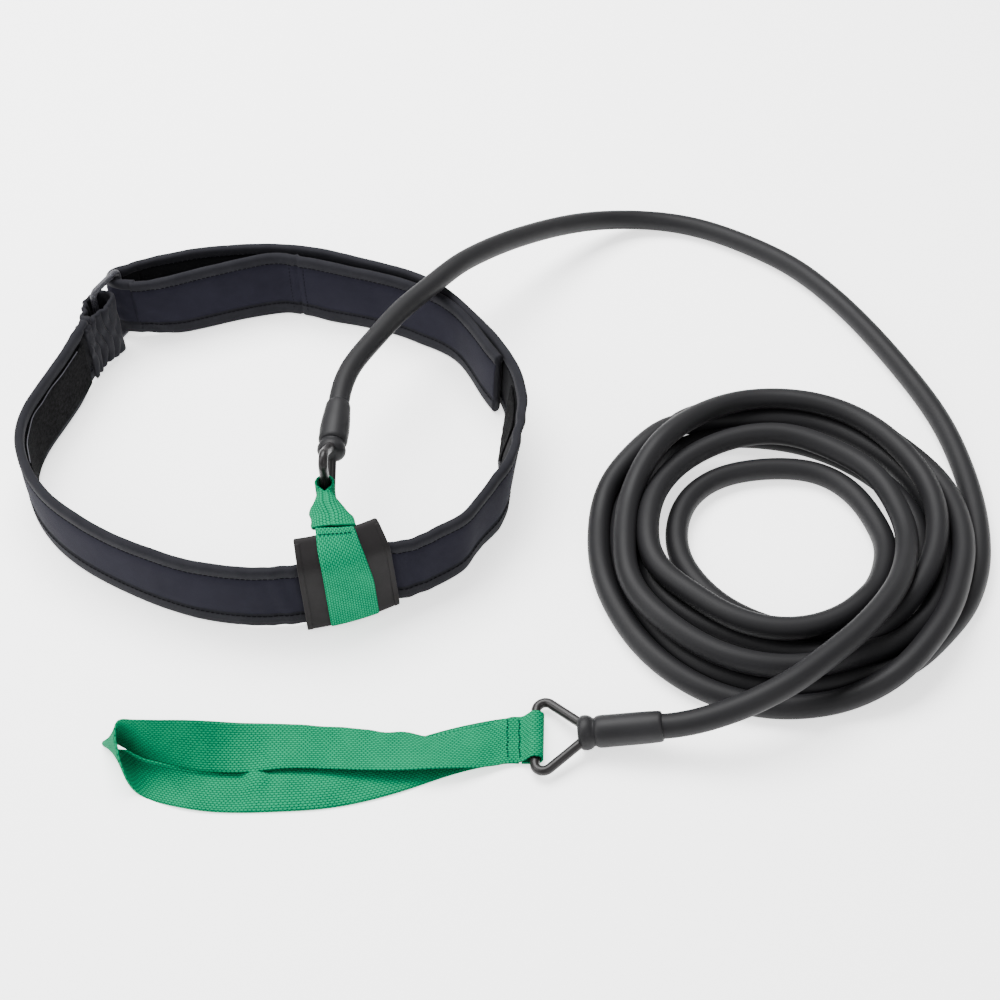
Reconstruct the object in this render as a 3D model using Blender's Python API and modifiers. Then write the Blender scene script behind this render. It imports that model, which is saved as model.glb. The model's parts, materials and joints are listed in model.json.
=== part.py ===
"""Swim resistance belt: a waist belt that closes on itself through a rectangular
ring, a sleeve that slides along the belt, a long elastic tube with a triangular
ring moulded into each end, and a hand loop of webbing.

The belt stands on its lower edge, the tube lies in a coil beside it and the hand
loop lies in front. Metres, +Z up. Plan positions below are written in a working
frame and every object is shifted by ORIGIN, so that the belt and the hand loop
together are centred over the world origin, standing on z = 0.
"""

import math

import bmesh
import bpy
import numpy as np
from mathutils import Matrix, Vector

# ---------------------------------------------------------------- dimensions
ORIGIN = (-0.1384, -0.0158)  # plan point that becomes the world origin

BELT_HEIGHT = 0.050
CORE_THICK = 0.0036
FABRIC_THICK = 0.0008
FABRIC_OFFSET = 0.0025  # middle of the face panel and lining, from the mid plane
BINDING_DEPTH = 0.0070
BINDING_THICK = 0.0006
BINDING_OFFSET = 0.0026
GATHERED_HEIGHT = 0.0450  # the belt is gathered to pass through the ring

ARC_CENTRE = (-0.1393, 0.0444)  # the belt's front arc, along which the sleeve slides
ARC_RADIUS = 0.1470
SLIDER_ANGLE = (20.5, 19.4)  # degrees round the arc, at its foot and at its top
SLIDER_HALF = (10.5, 10.0)  # half of its width, as an angle on that arc
SLIDER_TOP = 0.0662
SLIDER_SHEET = 0.0016
BELT_LIFT = 0.0026  # the belt passes over the sleeve's lower fold
WEBBING_WIDTH = 0.0285
WEBBING_THICK = 0.0014

BAR_A = (-0.1027, -0.0453, 0.0599)  # middle of the near ring's straight bar
AXIS_A = (0.055, 0.994, 0.0875)  # from that bar along the tube
BAR_B = (0.0197, -0.1847, 0.0049)
AXIS_B = (0.9804, -0.0342, 0.1942)
RING_WIRE = 0.0055
RING_BASE_HALF = 0.0288  # the triangle's sharp corners, before they are rounded
RING_APEX = 0.0329
RING_CORNER = 0.0050
RING_TOP = 0.0091
FACE_FROM_BAR = 0.0246  # where the end plug's face stands
PLUG_RADIUS = 0.0097
PLUG_LENGTH = 0.0088
SLEEVE_RADIUS = 0.0088
SLEEVE_START = 0.0343  # from the bar
SLEEVE_END = 0.0706
TUBE_START = 0.0720
TUBE_RADIUS = 0.0070
TUBE_BORE = 0.0041
TUBE_GAP = 0.0003

COIL_CENTRE = (0.1780, -0.0430)
COIL_INNER = 0.0572
COIL_OUTER = 0.1245
COIL_HEIGHT = 0.0290

BUCKLE_WIRE = 0.0044
BUCKLE_TOP = 0.0560
BUCKLE_BOTTOM = 0.0006
BUCKLE_FREE = (-0.2605, 0.1632)  # bar that the belt folds round
BUCKLE_HELD = (-0.2728, 0.1385)  # bar that the keeper holds

GAP = 0.0003

# ---------------------------------------------------------------- the scene
for old in list(bpy.data.objects):
    bpy.data.objects.remove(old, do_unlink=True)

parts = bpy.data.collections.new("swim_resistance_belt")
cutters = bpy.data.collections.new("cutters")
cutters.hide_render = True
bpy.context.scene.collection.children.link(parts)
bpy.context.scene.collection.children.link(cutters)


def material(name, colour, rough, metal=0.0):
    made = bpy.data.materials.new(name)
    made.use_nodes = True
    shader = made.node_tree.nodes["Principled BSDF"]
    shader.inputs["Base Color"].default_value = (*colour, 1.0)
    shader.inputs["Roughness"].default_value = rough
    shader.inputs["Metallic"].default_value = metal
    made.diffuse_color = (*colour, 1.0)
    return made


FOAM = material("foam", (0.020, 0.020, 0.022), 0.95)
FACE = material("navy_face", (0.012, 0.013, 0.028), 0.85)
LINING = material("black_lining", (0.008, 0.008, 0.009), 0.98)
BINDING = material("charcoal_binding", (0.022, 0.022, 0.026), 0.85)
PANEL = material("sleeve_panel", (0.016, 0.014, 0.015), 0.80)
WEBBING = material("green_webbing", (0.004, 0.340, 0.155), 0.75)
RUBBER = material("tube_rubber", (0.030, 0.031, 0.034), 0.62)
MOULDED = material("moulded_rubber", (0.034, 0.035, 0.038), 0.55)
RING = material("coated_ring", (0.016, 0.015, 0.016), 0.30)
BUCKLE = material("buckle_ring", (0.060, 0.060, 0.064), 0.45)
HOOK = material("hook_tape", (0.012, 0.012, 0.013), 0.95)


def finish(obj, mat, origin=None, collection=None):
    """Gives the object its material, and its origin at a point of the working frame."""
    obj.data.materials.clear()
    obj.data.materials.append(mat)
    (collection or parts).objects.link(obj)
    shift = Vector((ORIGIN[0], ORIGIN[1], 0.0))
    base = obj.matrix_world.copy()
    if origin is not None:
        move = Vector(origin) - base.translation
        turn = base.to_3x3().inverted()
        obj.data.transform(Matrix.Translation(turn @ -move))
        base.translation = Vector(origin)
    base.translation -= shift
    obj.matrix_world = base
    return obj


def smooth(points, spacing):
    """Points at an even spacing along a smooth curve through the given points."""
    p = np.array(points, float)
    if p.shape[1] == 2:
        p = np.hstack([p, np.zeros((len(p), 1))])
    t = np.concatenate([[0], np.cumsum(np.sqrt(np.linalg.norm(np.diff(p, axis=0), axis=1)))])
    n = len(p)
    # natural cubic spline, centripetal spacing of its knots
    h = np.diff(t)
    a = np.zeros((n, n))
    r = np.zeros((n, 3))
    a[0, 0] = a[-1, -1] = 1.0
    for i in range(1, n - 1):
        a[i, i - 1], a[i, i], a[i, i + 1] = h[i - 1], 2 * (h[i - 1] + h[i]), h[i]
        r[i] = 6 * ((p[i + 1] - p[i]) / h[i] - (p[i] - p[i - 1]) / h[i - 1])
    m = np.linalg.solve(a, r)
    out = []
    for i in range(n - 1):
        for u in np.linspace(0, h[i], 24, endpoint=i == n - 2):
            w = h[i] - u
            out.append(
                (m[i] * w**3 + m[i + 1] * u**3) / (6 * h[i])
                + (p[i] / h[i] - m[i] * h[i] / 6) * w
                + (p[i + 1] / h[i] - m[i + 1] * h[i] / 6) * u
            )
    out = np.array(out)
    s = np.concatenate([[0], np.cumsum(np.linalg.norm(np.diff(out, axis=0), axis=1))])
    count = max(2, int(round(s[-1] / spacing)) + 1)
    want = np.linspace(0, s[-1], count)
    return np.stack([np.interp(want, s, out[:, k]) for k in range(3)], axis=1)


def stretch(path, start, end, spacing):
    """The stretch of a path between two distances along it, at an even spacing."""
    s = np.concatenate([[0], np.cumsum(np.linalg.norm(np.diff(path, axis=0), axis=1))])
    end = s[-1] if end is None else end
    count = max(2, int(round((end - start) / spacing)) + 1)
    want = np.linspace(start, end, count)
    return np.stack([np.interp(want, s, path[:, k]) for k in range(3)], axis=1)


def squared(path, start, end, spacing):
    """A stretch whose first and last steps are short, so that its end faces stand square to the path."""
    end = length_of(path) if end is None else end
    inner = stretch(path, start + 0.0015, end - 0.0015, spacing)
    return np.vstack([stretch(path, start, end, end - start)[:1], inner, stretch(path, start, end, end - start)[-1:]])


def length_of(path):
    return float(np.linalg.norm(np.diff(path, axis=0), axis=1).sum())


def along_at(path, point):
    """The distance along the path of its point nearest to the given one."""
    s = np.concatenate([[0], np.cumsum(np.linalg.norm(np.diff(path, axis=0), axis=1))])
    return float(s[np.argmin(np.linalg.norm(path[:, :2] - np.array(point)[:2], axis=1))])


def left_normals(path):
    t = np.gradient(path, axis=0)
    t[:, 2] = 0
    t /= np.linalg.norm(t, axis=1)[:, None]
    return np.stack([-t[:, 1], t[:, 0], np.zeros(len(t))], axis=1)


def sheet_object(name, rows, thick, mat, closed=False, wrap=False, origin=None):
    """A surface through rows of points, given its thickness by Solidify."""
    bm = bmesh.new()
    grid = [[bm.verts.new(Vector(v)) for v in row] for row in rows]
    count = len(grid)
    for i in range(count if closed else count - 1):
        a, b = grid[i], grid[(i + 1) % count]
        for j in range(len(a) if wrap else len(a) - 1):
            k = (j + 1) % len(a)
            bm.faces.new((a[j], b[j], b[k], a[k]))
    mesh = bpy.data.meshes.new(name)
    bm.to_mesh(mesh)
    bm.free()
    obj = bpy.data.objects.new(name, mesh)
    solid = obj.modifiers.new("thickness", "SOLIDIFY")
    solid.thickness = thick
    solid.offset = 0.0
    solid.use_even_offset = True
    return finish(obj, mat, origin)


def band(name, path, profile, thick, mat, section=None, start=0.0, origin=None, sides=None):
    """A band that follows a path in plan. The profile is (offset, share of height)."""
    n = left_normals(path) if sides is None else sides
    s = np.concatenate([[0], np.cumsum(np.linalg.norm(np.diff(path, axis=0), axis=1))]) + start
    rows = []
    for p, side, at in zip(path, n, s):
        foot, tall = section(at) if section else (0.0, BELT_HEIGHT)
        rows.append([tuple(p + side * off + np.array((0, 0, foot + z * tall))) for off, z in profile])
    return sheet_object(name, rows, thick, mat, origin=origin)


def outline_object(name, loops, z0, z1, mat, origin=None):
    """Flat closed outlines in plan, the later ones holes, given a height."""
    curve = bpy.data.curves.new(name, "CURVE")
    curve.dimensions = "2D"
    curve.fill_mode = "BOTH"
    curve.extrude = (z1 - z0) / 2
    for loop in loops:
        spline = curve.splines.new("POLY")
        spline.points.add(len(loop) - 1)
        spline.use_cyclic_u = True
        for i, v in enumerate(loop):
            spline.points[i].co = (v[0], v[1], 0.0, 1.0)
    obj = bpy.data.objects.new(name, curve)
    obj.matrix_world = Matrix.Translation((0, 0, (z0 + z1) / 2))
    obj.data.materials.append(mat)
    parts.objects.link(obj)
    obj.matrix_world = Matrix.Translation((-ORIGIN[0], -ORIGIN[1], (z0 + z1) / 2))
    return obj


def tube_object(name, path, radius, mat, cyclic=False, sides=2, origin=(0.0, 0.0, 0.0), collection=None):
    curve = bpy.data.curves.new(name, "CURVE")
    curve.dimensions = "3D"
    curve.bevel_depth = radius
    curve.bevel_resolution = sides
    curve.use_fill_caps = not cyclic
    spline = curve.splines.new("POLY")
    spline.points.add(len(path) - 1)
    spline.use_cyclic_u = cyclic
    for i, v in enumerate(path):
        spline.points[i].co = (v[0] - origin[0], v[1] - origin[1], v[2] - origin[2], 1.0)
    obj = bpy.data.objects.new(name, curve)
    obj.data.materials.append(mat)
    (collection or parts).objects.link(obj)
    obj.matrix_world = Matrix.Translation((origin[0] - ORIGIN[0], origin[1] - ORIGIN[1], origin[2]))
    return obj


def as_mesh(obj, name, collection):
    """A mesh object made from a curve object, its caps welded."""
    bpy.context.view_layer.update()
    graph = bpy.context.evaluated_depsgraph_get()
    mesh = bpy.data.meshes.new_from_object(obj.evaluated_get(graph))
    bm = bmesh.new()
    bm.from_mesh(mesh)
    bmesh.ops.remove_doubles(bm, verts=bm.verts, dist=1e-6)
    bmesh.ops.recalc_face_normals(bm, faces=bm.faces)
    bm.to_mesh(mesh)
    bm.free()
    made = bpy.data.objects.new(name, mesh)
    made.matrix_world = obj.matrix_world.copy()
    bpy.data.objects.remove(obj, do_unlink=True)
    collection.objects.link(made)
    return made


def frame_matrix(origin, axis, up=(0, 0, 1)):
    """Local +Z along axis, local +X as near to up as it can be."""
    z = Vector(axis).normalized()
    x = (Vector(up) - z * Vector(up).dot(z)).normalized()
    y = z.cross(x)
    m = Matrix((x, y, z)).transposed().to_4x4()
    m.translation = Vector(origin)
    return m


def turned_object(name, profile, place, mat, steps=20, closed=False):
    """A profile of (radius, height) turned about local Z. It runs down its outer side."""
    mesh = bpy.data.meshes.new(name)
    verts = [(r, 0.0, z) for r, z in profile]
    edges = [(i, i + 1) for i in range(len(verts) - 1)]
    if closed:
        edges.append((len(verts) - 1, 0))
    mesh.from_pydata(verts, edges, [])
    obj = bpy.data.objects.new(name, mesh)
    screw = obj.modifiers.new("turned", "SCREW")
    screw.axis = "Z"
    screw.steps = steps
    screw.render_steps = steps
    screw.use_merge_vertices = True
    screw.merge_threshold = 0.00001
    screw.use_smooth_shade = True
    obj.matrix_world = place
    return finish(obj, mat)


# ---------------------------------------------------------------- routes in plan
def arc_point(degrees, radius=ARC_RADIUS):
    a = math.radians(degrees)
    return (ARC_CENTRE[0] + radius * math.sin(a), ARC_CENTRE[1] - radius * math.cos(a))


BELT_ROUTE = (
    [(-0.2755, 0.1160), (-0.2825, 0.0880), (-0.2905, 0.0610), (-0.2975, 0.0340),
     (-0.2965, 0.0060), (-0.2865, -0.0195), (-0.2695, -0.0425), (-0.2490, -0.0600),
     (-0.2275, -0.0735), (-0.2030, -0.0860), (-0.1780, -0.0955)]
    + [arc_point(a) for a in (-4, 2, 8, 14, 20, 26, 32)]
    + [(-0.0496, -0.0764), (-0.0366, -0.0697), (-0.0221, -0.0593), (-0.0152, -0.0491),
       (-0.0066, -0.0353), (0.0040, -0.0135), (0.0085, 0.0114), (0.0119, 0.0394),
       (0.0096, 0.0696), (-0.0028, 0.0996),
       (-0.0160, 0.1205), (-0.0293, 0.1387), (-0.0501, 0.1592), (-0.0699, 0.1708),
       (-0.1118, 0.1865), (-0.1397, 0.1942), (-0.1705, 0.1963), (-0.2075, 0.1914),
       (-0.2339, 0.1838), (-0.2500, 0.1760)]
)
TAIL_ROUTE = [
    (-0.2470, 0.1555), (-0.2370, 0.1570), (-0.2204, 0.1630), (-0.1866, 0.1755),
    (-0.1600, 0.1820), (-0.1470, 0.1822), (-0.1200, 0.1765), (-0.0985, 0.1690),
    (-0.0740, 0.1600), (-0.0560, 0.1515), (-0.0350, 0.1335), (-0.0232, 0.1160),
    (-0.0105, 0.0955), (-0.0018, 0.0785),
]
SEAM_POINT = (-0.1400, 0.1812)

belt_path = smooth(BELT_ROUTE, 0.001)
tail_path = smooth(TAIL_ROUTE, 0.001)
seam_at = along_at(tail_path, SEAM_POINT)


def gather(distance):
    return GATHERED_HEIGHT + (BELT_HEIGHT - GATHERED_HEIGHT) * min(1.0, max(0.0, distance) / 0.022)


def belt_section(s):
    """(foot, height) of the belt at a distance along it."""
    tall = gather(min(s, belt_long - s))
    rise = min(1.0, max(0.0, (s - lift_from) / 0.030)) * min(1.0, max(0.0, (lift_to - s) / 0.030))
    return (BELT_HEIGHT - tall) * 1.12 + BELT_LIFT * rise, tall


def tail_section(s):
    tall = gather(s)
    return (BELT_HEIGHT - tall) * 1.12, tall


belt_long = length_of(belt_path)
lift_from = along_at(belt_path, arc_point(-4)) - 0.030
lift_to = along_at(belt_path, arc_point(33)) + 0.030


LOW, HIGH = 0.022, 0.978
PANEL_LOW = (BINDING_DEPTH + 0.0006) / BELT_HEIGHT
PANEL_HIGH = 1 - PANEL_LOW
EDGE = 0.0004 / BELT_HEIGHT


def layers(prefix, path, spacing, section, names, mats, outer_sign, origin=None):
    """Foam core, outer fabric, inner fabric and two edge bindings along one path."""
    run = stretch(path, 0, None, spacing)
    deep = BINDING_DEPTH / BELT_HEIGHT
    core, outside, inside, top, bottom = names
    band(prefix + core, run, [(0, LOW), (0, HIGH)], CORE_THICK, mats[0], section, origin=origin)
    out = outer_sign * FABRIC_OFFSET
    band(prefix + outside, run, [(out, PANEL_LOW), (out, PANEL_HIGH)], FABRIC_THICK, mats[1], section, origin=origin)
    band(prefix + inside, run, [(-out, PANEL_LOW), (-out, PANEL_HIGH)], FABRIC_THICK, mats[2], section, origin=origin)
    for edge, low, high in ((top, 1 - deep, 1 - EDGE), (bottom, deep, EDGE)):
        web = [(BINDING_OFFSET, low), (BINDING_OFFSET, high), (-BINDING_OFFSET, high), (-BINDING_OFFSET, low)]
        band(prefix + edge, run, web, BINDING_THICK, mats[3], section, origin=origin)


# ---------------------------------------------------------------- the belt
# The route runs from the keeper round the front and back to the ring, so the
# loop's outside is on its right.
layers("belt_", belt_path, 0.019, belt_section,
       ("core", "face_panel", "lining", "binding_top", "binding_bottom"),
       (FOAM, FACE, LINING, BINDING), -1)

# A patch of pile on the inside of the left stretch, and a strip of hook tape on
# the inside at the right, just before the folded end's tip.
belt_run = stretch(belt_path, 0, None, 0.019)
belt_sides = left_normals(belt_run)
for name, first, last, mat in (("loop_patch", 2, 6, LINING), ("hook_strip", 28, 31, HOOK)):
    band(name, belt_run[first:last], [(0.0036, 0.20), (0.0036, 0.80)], 0.0008, mat, sides=belt_sides[first:last])

# The folded end: a fixed stretch from the ring to a sewn joint, then the free
# end, which peels off the inside of the belt about that joint.
layers("tail_", stretch(tail_path, 0, seam_at, 0.001), 0.019, tail_section,
       ("core", "face_panel", "lining", "binding_top", "binding_bottom"),
       (FOAM, FACE, LINING, BINDING), -1)
seam_xy = stretch(tail_path, seam_at, seam_at + 0.001, 0.001)
seam_side = left_normals(seam_xy)[0]
seam_xy = seam_xy[0] - seam_side * 0.0029
peel_axis = (float(seam_xy[0]), float(seam_xy[1]), 0.0)
layers("tail_end_", stretch(tail_path, seam_at + 0.0006, None, 0.001), 0.017, None,
       ("core", "face_panel", "hook_tape", "binding_top", "binding_bottom"),
       (FOAM, FACE, HOOK, BINDING), -1, peel_axis)

# The fold round the ring's free bar, gathered between the ring's cross bars.
fold_r = BUCKLE_WIRE / 2 + 0.0036
around = [
    (BUCKLE_FREE[0] + fold_r * math.cos(math.radians(a)), BUCKLE_FREE[1] + fold_r * math.sin(math.radians(a)))
    for a in (115, 140, 165, 190, 215, 240, 265)
]
fold_path = smooth([(-0.2513, 0.1752), (-0.2565, 0.1720)] + around + [(-0.2560, 0.1561), (-0.2484, 0.1552)], 0.0035)
fold_foot = (BELT_HEIGHT - GATHERED_HEIGHT) * 1.12
band("belt_fold", fold_path, [(0, 0.01), (0, 0.99)], 0.0046, FACE, lambda s: (fold_foot, GATHERED_HEIGHT))

# ---------------------------------------------------------------- rectangular ring
ring_dir = np.array(BUCKLE_FREE) - np.array(BUCKLE_HELD)
ring_span = float(np.linalg.norm(ring_dir))
ring_dir /= ring_span


def rounded(vertices, radii, steps):
    """The points of a flat polygon whose corners are rounded."""
    out = []
    for i, (p, radius) in enumerate(zip(vertices, radii)):
        p = np.array(p, float)
        a = np.array(vertices[i - 1], float) - p
        b = np.array(vertices[(i + 1) % len(vertices)], float) - p
        a /= np.linalg.norm(a)
        b /= np.linalg.norm(b)
        half = math.acos(float(a @ b)) / 2
        middle = p + (a + b) / np.linalg.norm(a + b) * radius / math.sin(half)
        first = p + a * radius / math.tan(half) - middle
        last = p + b * radius / math.tan(half) - middle
        start = math.atan2(first[1], first[0])
        turn = (math.atan2(last[1], last[0]) - start + math.pi) % (2 * math.pi) - math.pi
        for k in range(steps + 1):
            angle = start + turn * k / steps
            out.append(middle + radius * np.array([math.cos(angle), math.sin(angle)]))
    return out


half_wire = BUCKLE_WIRE / 2
low, high = BUCKLE_BOTTOM + half_wire, BUCKLE_TOP - half_wire
buckle_points = [
    (BUCKLE_HELD[0] + ring_dir[0] * u, BUCKLE_HELD[1] + ring_dir[1] * u, z)
    for u, z in rounded([(0, low), (ring_span, low), (ring_span, high), (0, high)], [0.0035] * 4, 3)
]
tube_object("buckle_ring", buckle_points, half_wire, BUCKLE, cyclic=True, origin=(*BUCKLE_HELD, 0.0))

# The keeper: a doubled strip of fabric from the belt's end round the held bar.
keeper_dir = np.array(BUCKLE_HELD) - belt_path[0][:2]
keeper_long = float(np.linalg.norm(keeper_dir))
keeper_dir /= keeper_long
keeper_side = np.array([-keeper_dir[1], keeper_dir[0]])
keeper_in, keeper_out = half_wire + 0.0005, half_wire + 0.0021


def keeper_ring(radius, reach, half, start=0.0):
    loop = []
    for k in range(17):
        a = math.radians(-150 + 300 * k / 16)
        loop.append(np.array(BUCKLE_HELD) + keeper_dir * radius * math.cos(a) + keeper_side * radius * math.sin(a))
    if reach:
        loop.append(belt_path[0][:2] + keeper_dir * reach + keeper_side * half)
        loop.append(belt_path[0][:2] + keeper_dir * reach - keeper_side * half)
    return [tuple(v) for v in loop]


outline_object("buckle_keeper", [keeper_ring(keeper_out, 0.0004, 0.0024),
                                 [tuple(np.array(BUCKLE_HELD) + keeper_in * np.array([math.cos(a), math.sin(a)]))
                                  for a in np.linspace(0, 2 * math.pi, 14, endpoint=False)]],
               0.0062, 0.0440, BINDING)

# ---------------------------------------------------------------- the sliding sleeve
# Its section is (distance out from the belt's middle, z), from the front of the
# lower fold up the front, over the top seam and down the back.
slide_axis = (ARC_CENTRE[0], ARC_CENTRE[1], 0.0)
front = [(0.0052, 0.0022), (0.0057, 0.0046), (0.0057, 0.0150), (0.0056, 0.0280), (0.0054, 0.0400), (0.0051, 0.0500),
         (0.0042, 0.0545), (0.0014, 0.0584), (-0.0026, 0.0618), (-0.0064, 0.0646)]
crest = [(-0.0082, SLIDER_TOP - 0.0008), (-0.0098, 0.0644)]
rear = [(-0.0078, 0.0582), (-0.0060, 0.0530), (-0.0051, 0.0475), (-0.0049, 0.0330), (-0.0049, 0.0180),
        (-0.0049, 0.0048), (-0.0042, 0.0022), (-0.0024, 0.0013), (0.0034, 0.0013)]


def at_height(pair, z):
    return pair[0] + (pair[1] - pair[0]) * min(1.0, z / SLIDER_TOP)


def across_sleeve(section, half_share, steps):
    rows = []
    for k in range(steps + 1):
        u = -1 + 2 * k / steps
        row = []
        for out, z in section:
            angle = at_height(SLIDER_ANGLE, z) + u * half_share * at_height(SLIDER_HALF, z)
            x, y = arc_point(angle, ARC_RADIUS + out)
            row.append((x, y, z))
        rows.append(row)
    return rows


sheet_object("slider_sleeve", across_sleeve(front + crest + rear, 1.0, 6), SLIDER_SHEET, PANEL, wrap=True, origin=slide_axis)

strip = np.array(front[1:-1])
slope = np.gradient(strip, axis=0)
slope /= np.linalg.norm(slope, axis=1)[:, None]
away = SLIDER_SHEET / 2 + GAP + WEBBING_THICK / 2
strip = strip + np.stack([slope[:, 1], -slope[:, 0]], axis=1) * away
web_share = (WEBBING_WIDTH / 2) / (math.radians(SLIDER_HALF[0]) * (ARC_RADIUS + 0.0073))
sheet_object("slider_webbing", across_sleeve([tuple(v) for v in strip], web_share, 4), WEBBING_THICK, WEBBING, origin=slide_axis)


# ---------------------------------------------------------------- ribbons
def ribbon(stations, count, closed):
    """Rows between two selvedges, smooth along both. A station is six numbers."""
    p = np.array(stations, float)
    if closed:
        p = np.vstack([p[-4:], p, p[:4]])
    middle = (p[:, :3] + p[:, 3:]) / 2
    t = np.concatenate([[0], np.cumsum(np.sqrt(np.linalg.norm(np.diff(middle, axis=0), axis=1) + 0.001))])
    n, h = len(p), np.diff(t)
    a, r = np.zeros((n, n)), np.zeros((n, 6))
    a[0, 0] = a[-1, -1] = 1.0
    for i in range(1, n - 1):
        a[i, i - 1], a[i, i], a[i, i + 1] = h[i - 1], 2 * (h[i - 1] + h[i]), h[i]
        r[i] = 6 * ((p[i + 1] - p[i]) / h[i] - (p[i] - p[i - 1]) / h[i - 1])
    m = np.linalg.solve(a, r)
    first, last = (4, n - 4) if closed else (0, n - 1)
    fine = []
    for want in np.linspace(t[first], t[last], 60 * len(stations), endpoint=not closed):
        i = min(max(int(np.searchsorted(t, want, side="right")) - 1, 0), n - 2)
        u = want - t[i]
        w = h[i] - u
        fine.append((m[i] * w**3 + m[i + 1] * u**3) / (6 * h[i])
                    + (p[i] / h[i] - m[i] * h[i] / 6) * w + (p[i + 1] / h[i] - m[i + 1] * h[i] / 6) * u)
    fine = np.array(fine)
    middle = (fine[:, :3] + fine[:, 3:]) / 2
    turn = np.diff(middle, axis=0)
    step = np.linalg.norm(turn, axis=1)
    turn /= step[:, None]
    bend = np.concatenate([[0], np.arccos(np.clip((turn[1:] * turn[:-1]).sum(axis=1), -1, 1)), [0]])
    weight = np.concatenate([[0], np.cumsum(step + 0.016 * (bend[1:] + bend[:-1]) / 2)])
    at = np.linspace(0, weight[-1], count)
    got = np.stack([np.interp(at, weight, fine[:, k]) for k in range(6)], axis=1)
    return [[tuple(v[:3]), tuple((v[:3] + v[3:]) / 2), tuple(v[3:])] for v in got]


axis_a = np.array(AXIS_A) / np.linalg.norm(AXIS_A)
axis_b = np.array(AXIS_B) / np.linalg.norm(AXIS_B)
bar_a, bar_b = np.array(BAR_A), np.array(BAR_B)
across_a = np.array((0.0, 0.0, 1.0)) - axis_a * axis_a[2]
across_a /= np.linalg.norm(across_a)
across_b = np.cross(axis_b, (0.0, 0.0, 1.0))
across_b /= -np.linalg.norm(across_b)
side_a, side_b = np.cross(axis_a, across_a), np.cross(across_b, axis_b)

# The eye: one strip that leaves the sleeve's top seam, turns a quarter, goes
# round the near ring's bar and comes back.
seam_x, seam_y = arc_point(at_height(SLIDER_ANGLE, SLIDER_TOP), ARC_RADIUS - 0.0120)
seam_mid = np.array((seam_x, seam_y, 0.0652))
turn_a = math.radians(at_height(SLIDER_ANGLE, SLIDER_TOP))
seam_wide = np.array((math.cos(turn_a), math.sin(turn_a), 0.0))
eye_mid = bar_a - across_a * 0.0083
eye_r = RING_WIRE / 2 + 0.0006 + 0.0006
EYE_THICK = 0.0012
neck_end = eye_mid - axis_a * 0.0085


def eye_leaf(sign):
    out = []
    for share in (0.0, 0.10, 0.28, 0.46, 0.64, 0.82, 1.0):
        ease = share * share * (3 - 2 * share)
        mid = seam_mid * (1 - share) + neck_end * share + np.array((0, 0, 0.0040)) * math.sin(math.pi * share) * (1 - share)
        wide = seam_wide * math.cos(ease * math.pi / 2) + across_a * math.sin(ease * math.pi / 2)
        half = 0.0142 * (1 - ease) + 0.0090 * ease
        normal = np.cross(wide, axis_a)
        normal /= np.linalg.norm(normal)
        mid = mid + normal * sign * (0.0010 + 0.0006 * ease)
        out.append((*(mid - wide * half), *(mid + wide * half)))
    return out


eye_rows = eye_leaf(1)
first_side = np.cross(across_a, axis_a)
for degrees in (150, 115, 80, 40, 0, -40, -80, -115, -150):
    a = math.radians(degrees)
    at = eye_mid + axis_a * eye_r * math.cos(a) + first_side * eye_r * math.sin(a)
    eye_rows.append((*(at - across_a * 0.0090), *(at + across_a * 0.0090)))
eye_rows += eye_leaf(-1)[::-1]
sheet_object("slider_eye", ribbon(eye_rows, 54, False), EYE_THICK, WEBBING, origin=slide_axis)

# ---------------------------------------------------------------- end fittings
ring_outline = rounded([(-RING_BASE_HALF, 0.0), (RING_BASE_HALF, 0.0), (0.0, RING_APEX)],
                       [RING_CORNER, RING_CORNER, RING_TOP], 5)


def fitting(letter, bar, axis, across, side):
    """A triangular ring, the plug moulded round its point, the sleeve and the tube's end."""
    place = Matrix((Vector(across), Vector(side), Vector(axis))).transposed().to_4x4()
    place.translation = Vector(bar)
    points = [bar + across * u + axis * v for u, v in ring_outline]
    tube_object("ring_" + letter, points, RING_WIRE / 2, RING, cyclic=True, origin=tuple(bar))
    cutter = tube_object("ring_room_" + letter, points, RING_WIRE / 2 + GAP, RING, cyclic=True)
    cutter = as_mesh(cutter, "ring_room_mesh_" + letter, cutters)
    cutter.hide_render = True
    cutter.display_type = "WIRE"
    head, neck, barb = PLUG_RADIUS, 0.0030, 0.0037
    face, shoulder = FACE_FROM_BAR, FACE_FROM_BAR + PLUG_LENGTH
    plug = turned_object("end_plug_" + letter, [
        (0.0, 0.0560), (neck, 0.0560), (barb, 0.0520), (neck, 0.0516), (neck, 0.0480), (barb, 0.0440), (neck, 0.0436),
        (neck, 0.0400), (barb, 0.0360), (neck, 0.0356), (neck, shoulder), (head - 0.0010, shoulder),
        (head, shoulder - 0.0010), (head, face + 0.0010), (head - 0.0012, face), (0.0, face)], place, MOULDED, 24)
    cut = plug.modifiers.new("ring_room", "BOOLEAN")
    cut.operation = "DIFFERENCE"
    cut.solver = "EXACT"
    cut.object = cutter
    inner = TUBE_RADIUS + GAP
    turned_object("sleeve_" + letter, [
        (0.0079, SLEEVE_END), (0.0087, SLEEVE_END - 0.0008), (SLEEVE_RADIUS, SLEEVE_END - 0.0020),
        (SLEEVE_RADIUS, SLEEVE_START + 0.0012), (0.0080, SLEEVE_START), (inner, SLEEVE_START),
        (inner, SLEEVE_END)], place, MOULDED, 24, closed=True)
    turned_object("tube_end_" + letter, [
        (TUBE_RADIUS, TUBE_START - 0.0004), (TUBE_RADIUS, SLEEVE_START), (TUBE_BORE, SLEEVE_START),
        (TUBE_BORE, TUBE_START - 0.0004)], place, RUBBER, 20, closed=True)


fitting("a", bar_a, axis_a, across_a, side_a)
fitting("b", bar_b, axis_b, across_b, side_b)

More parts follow.
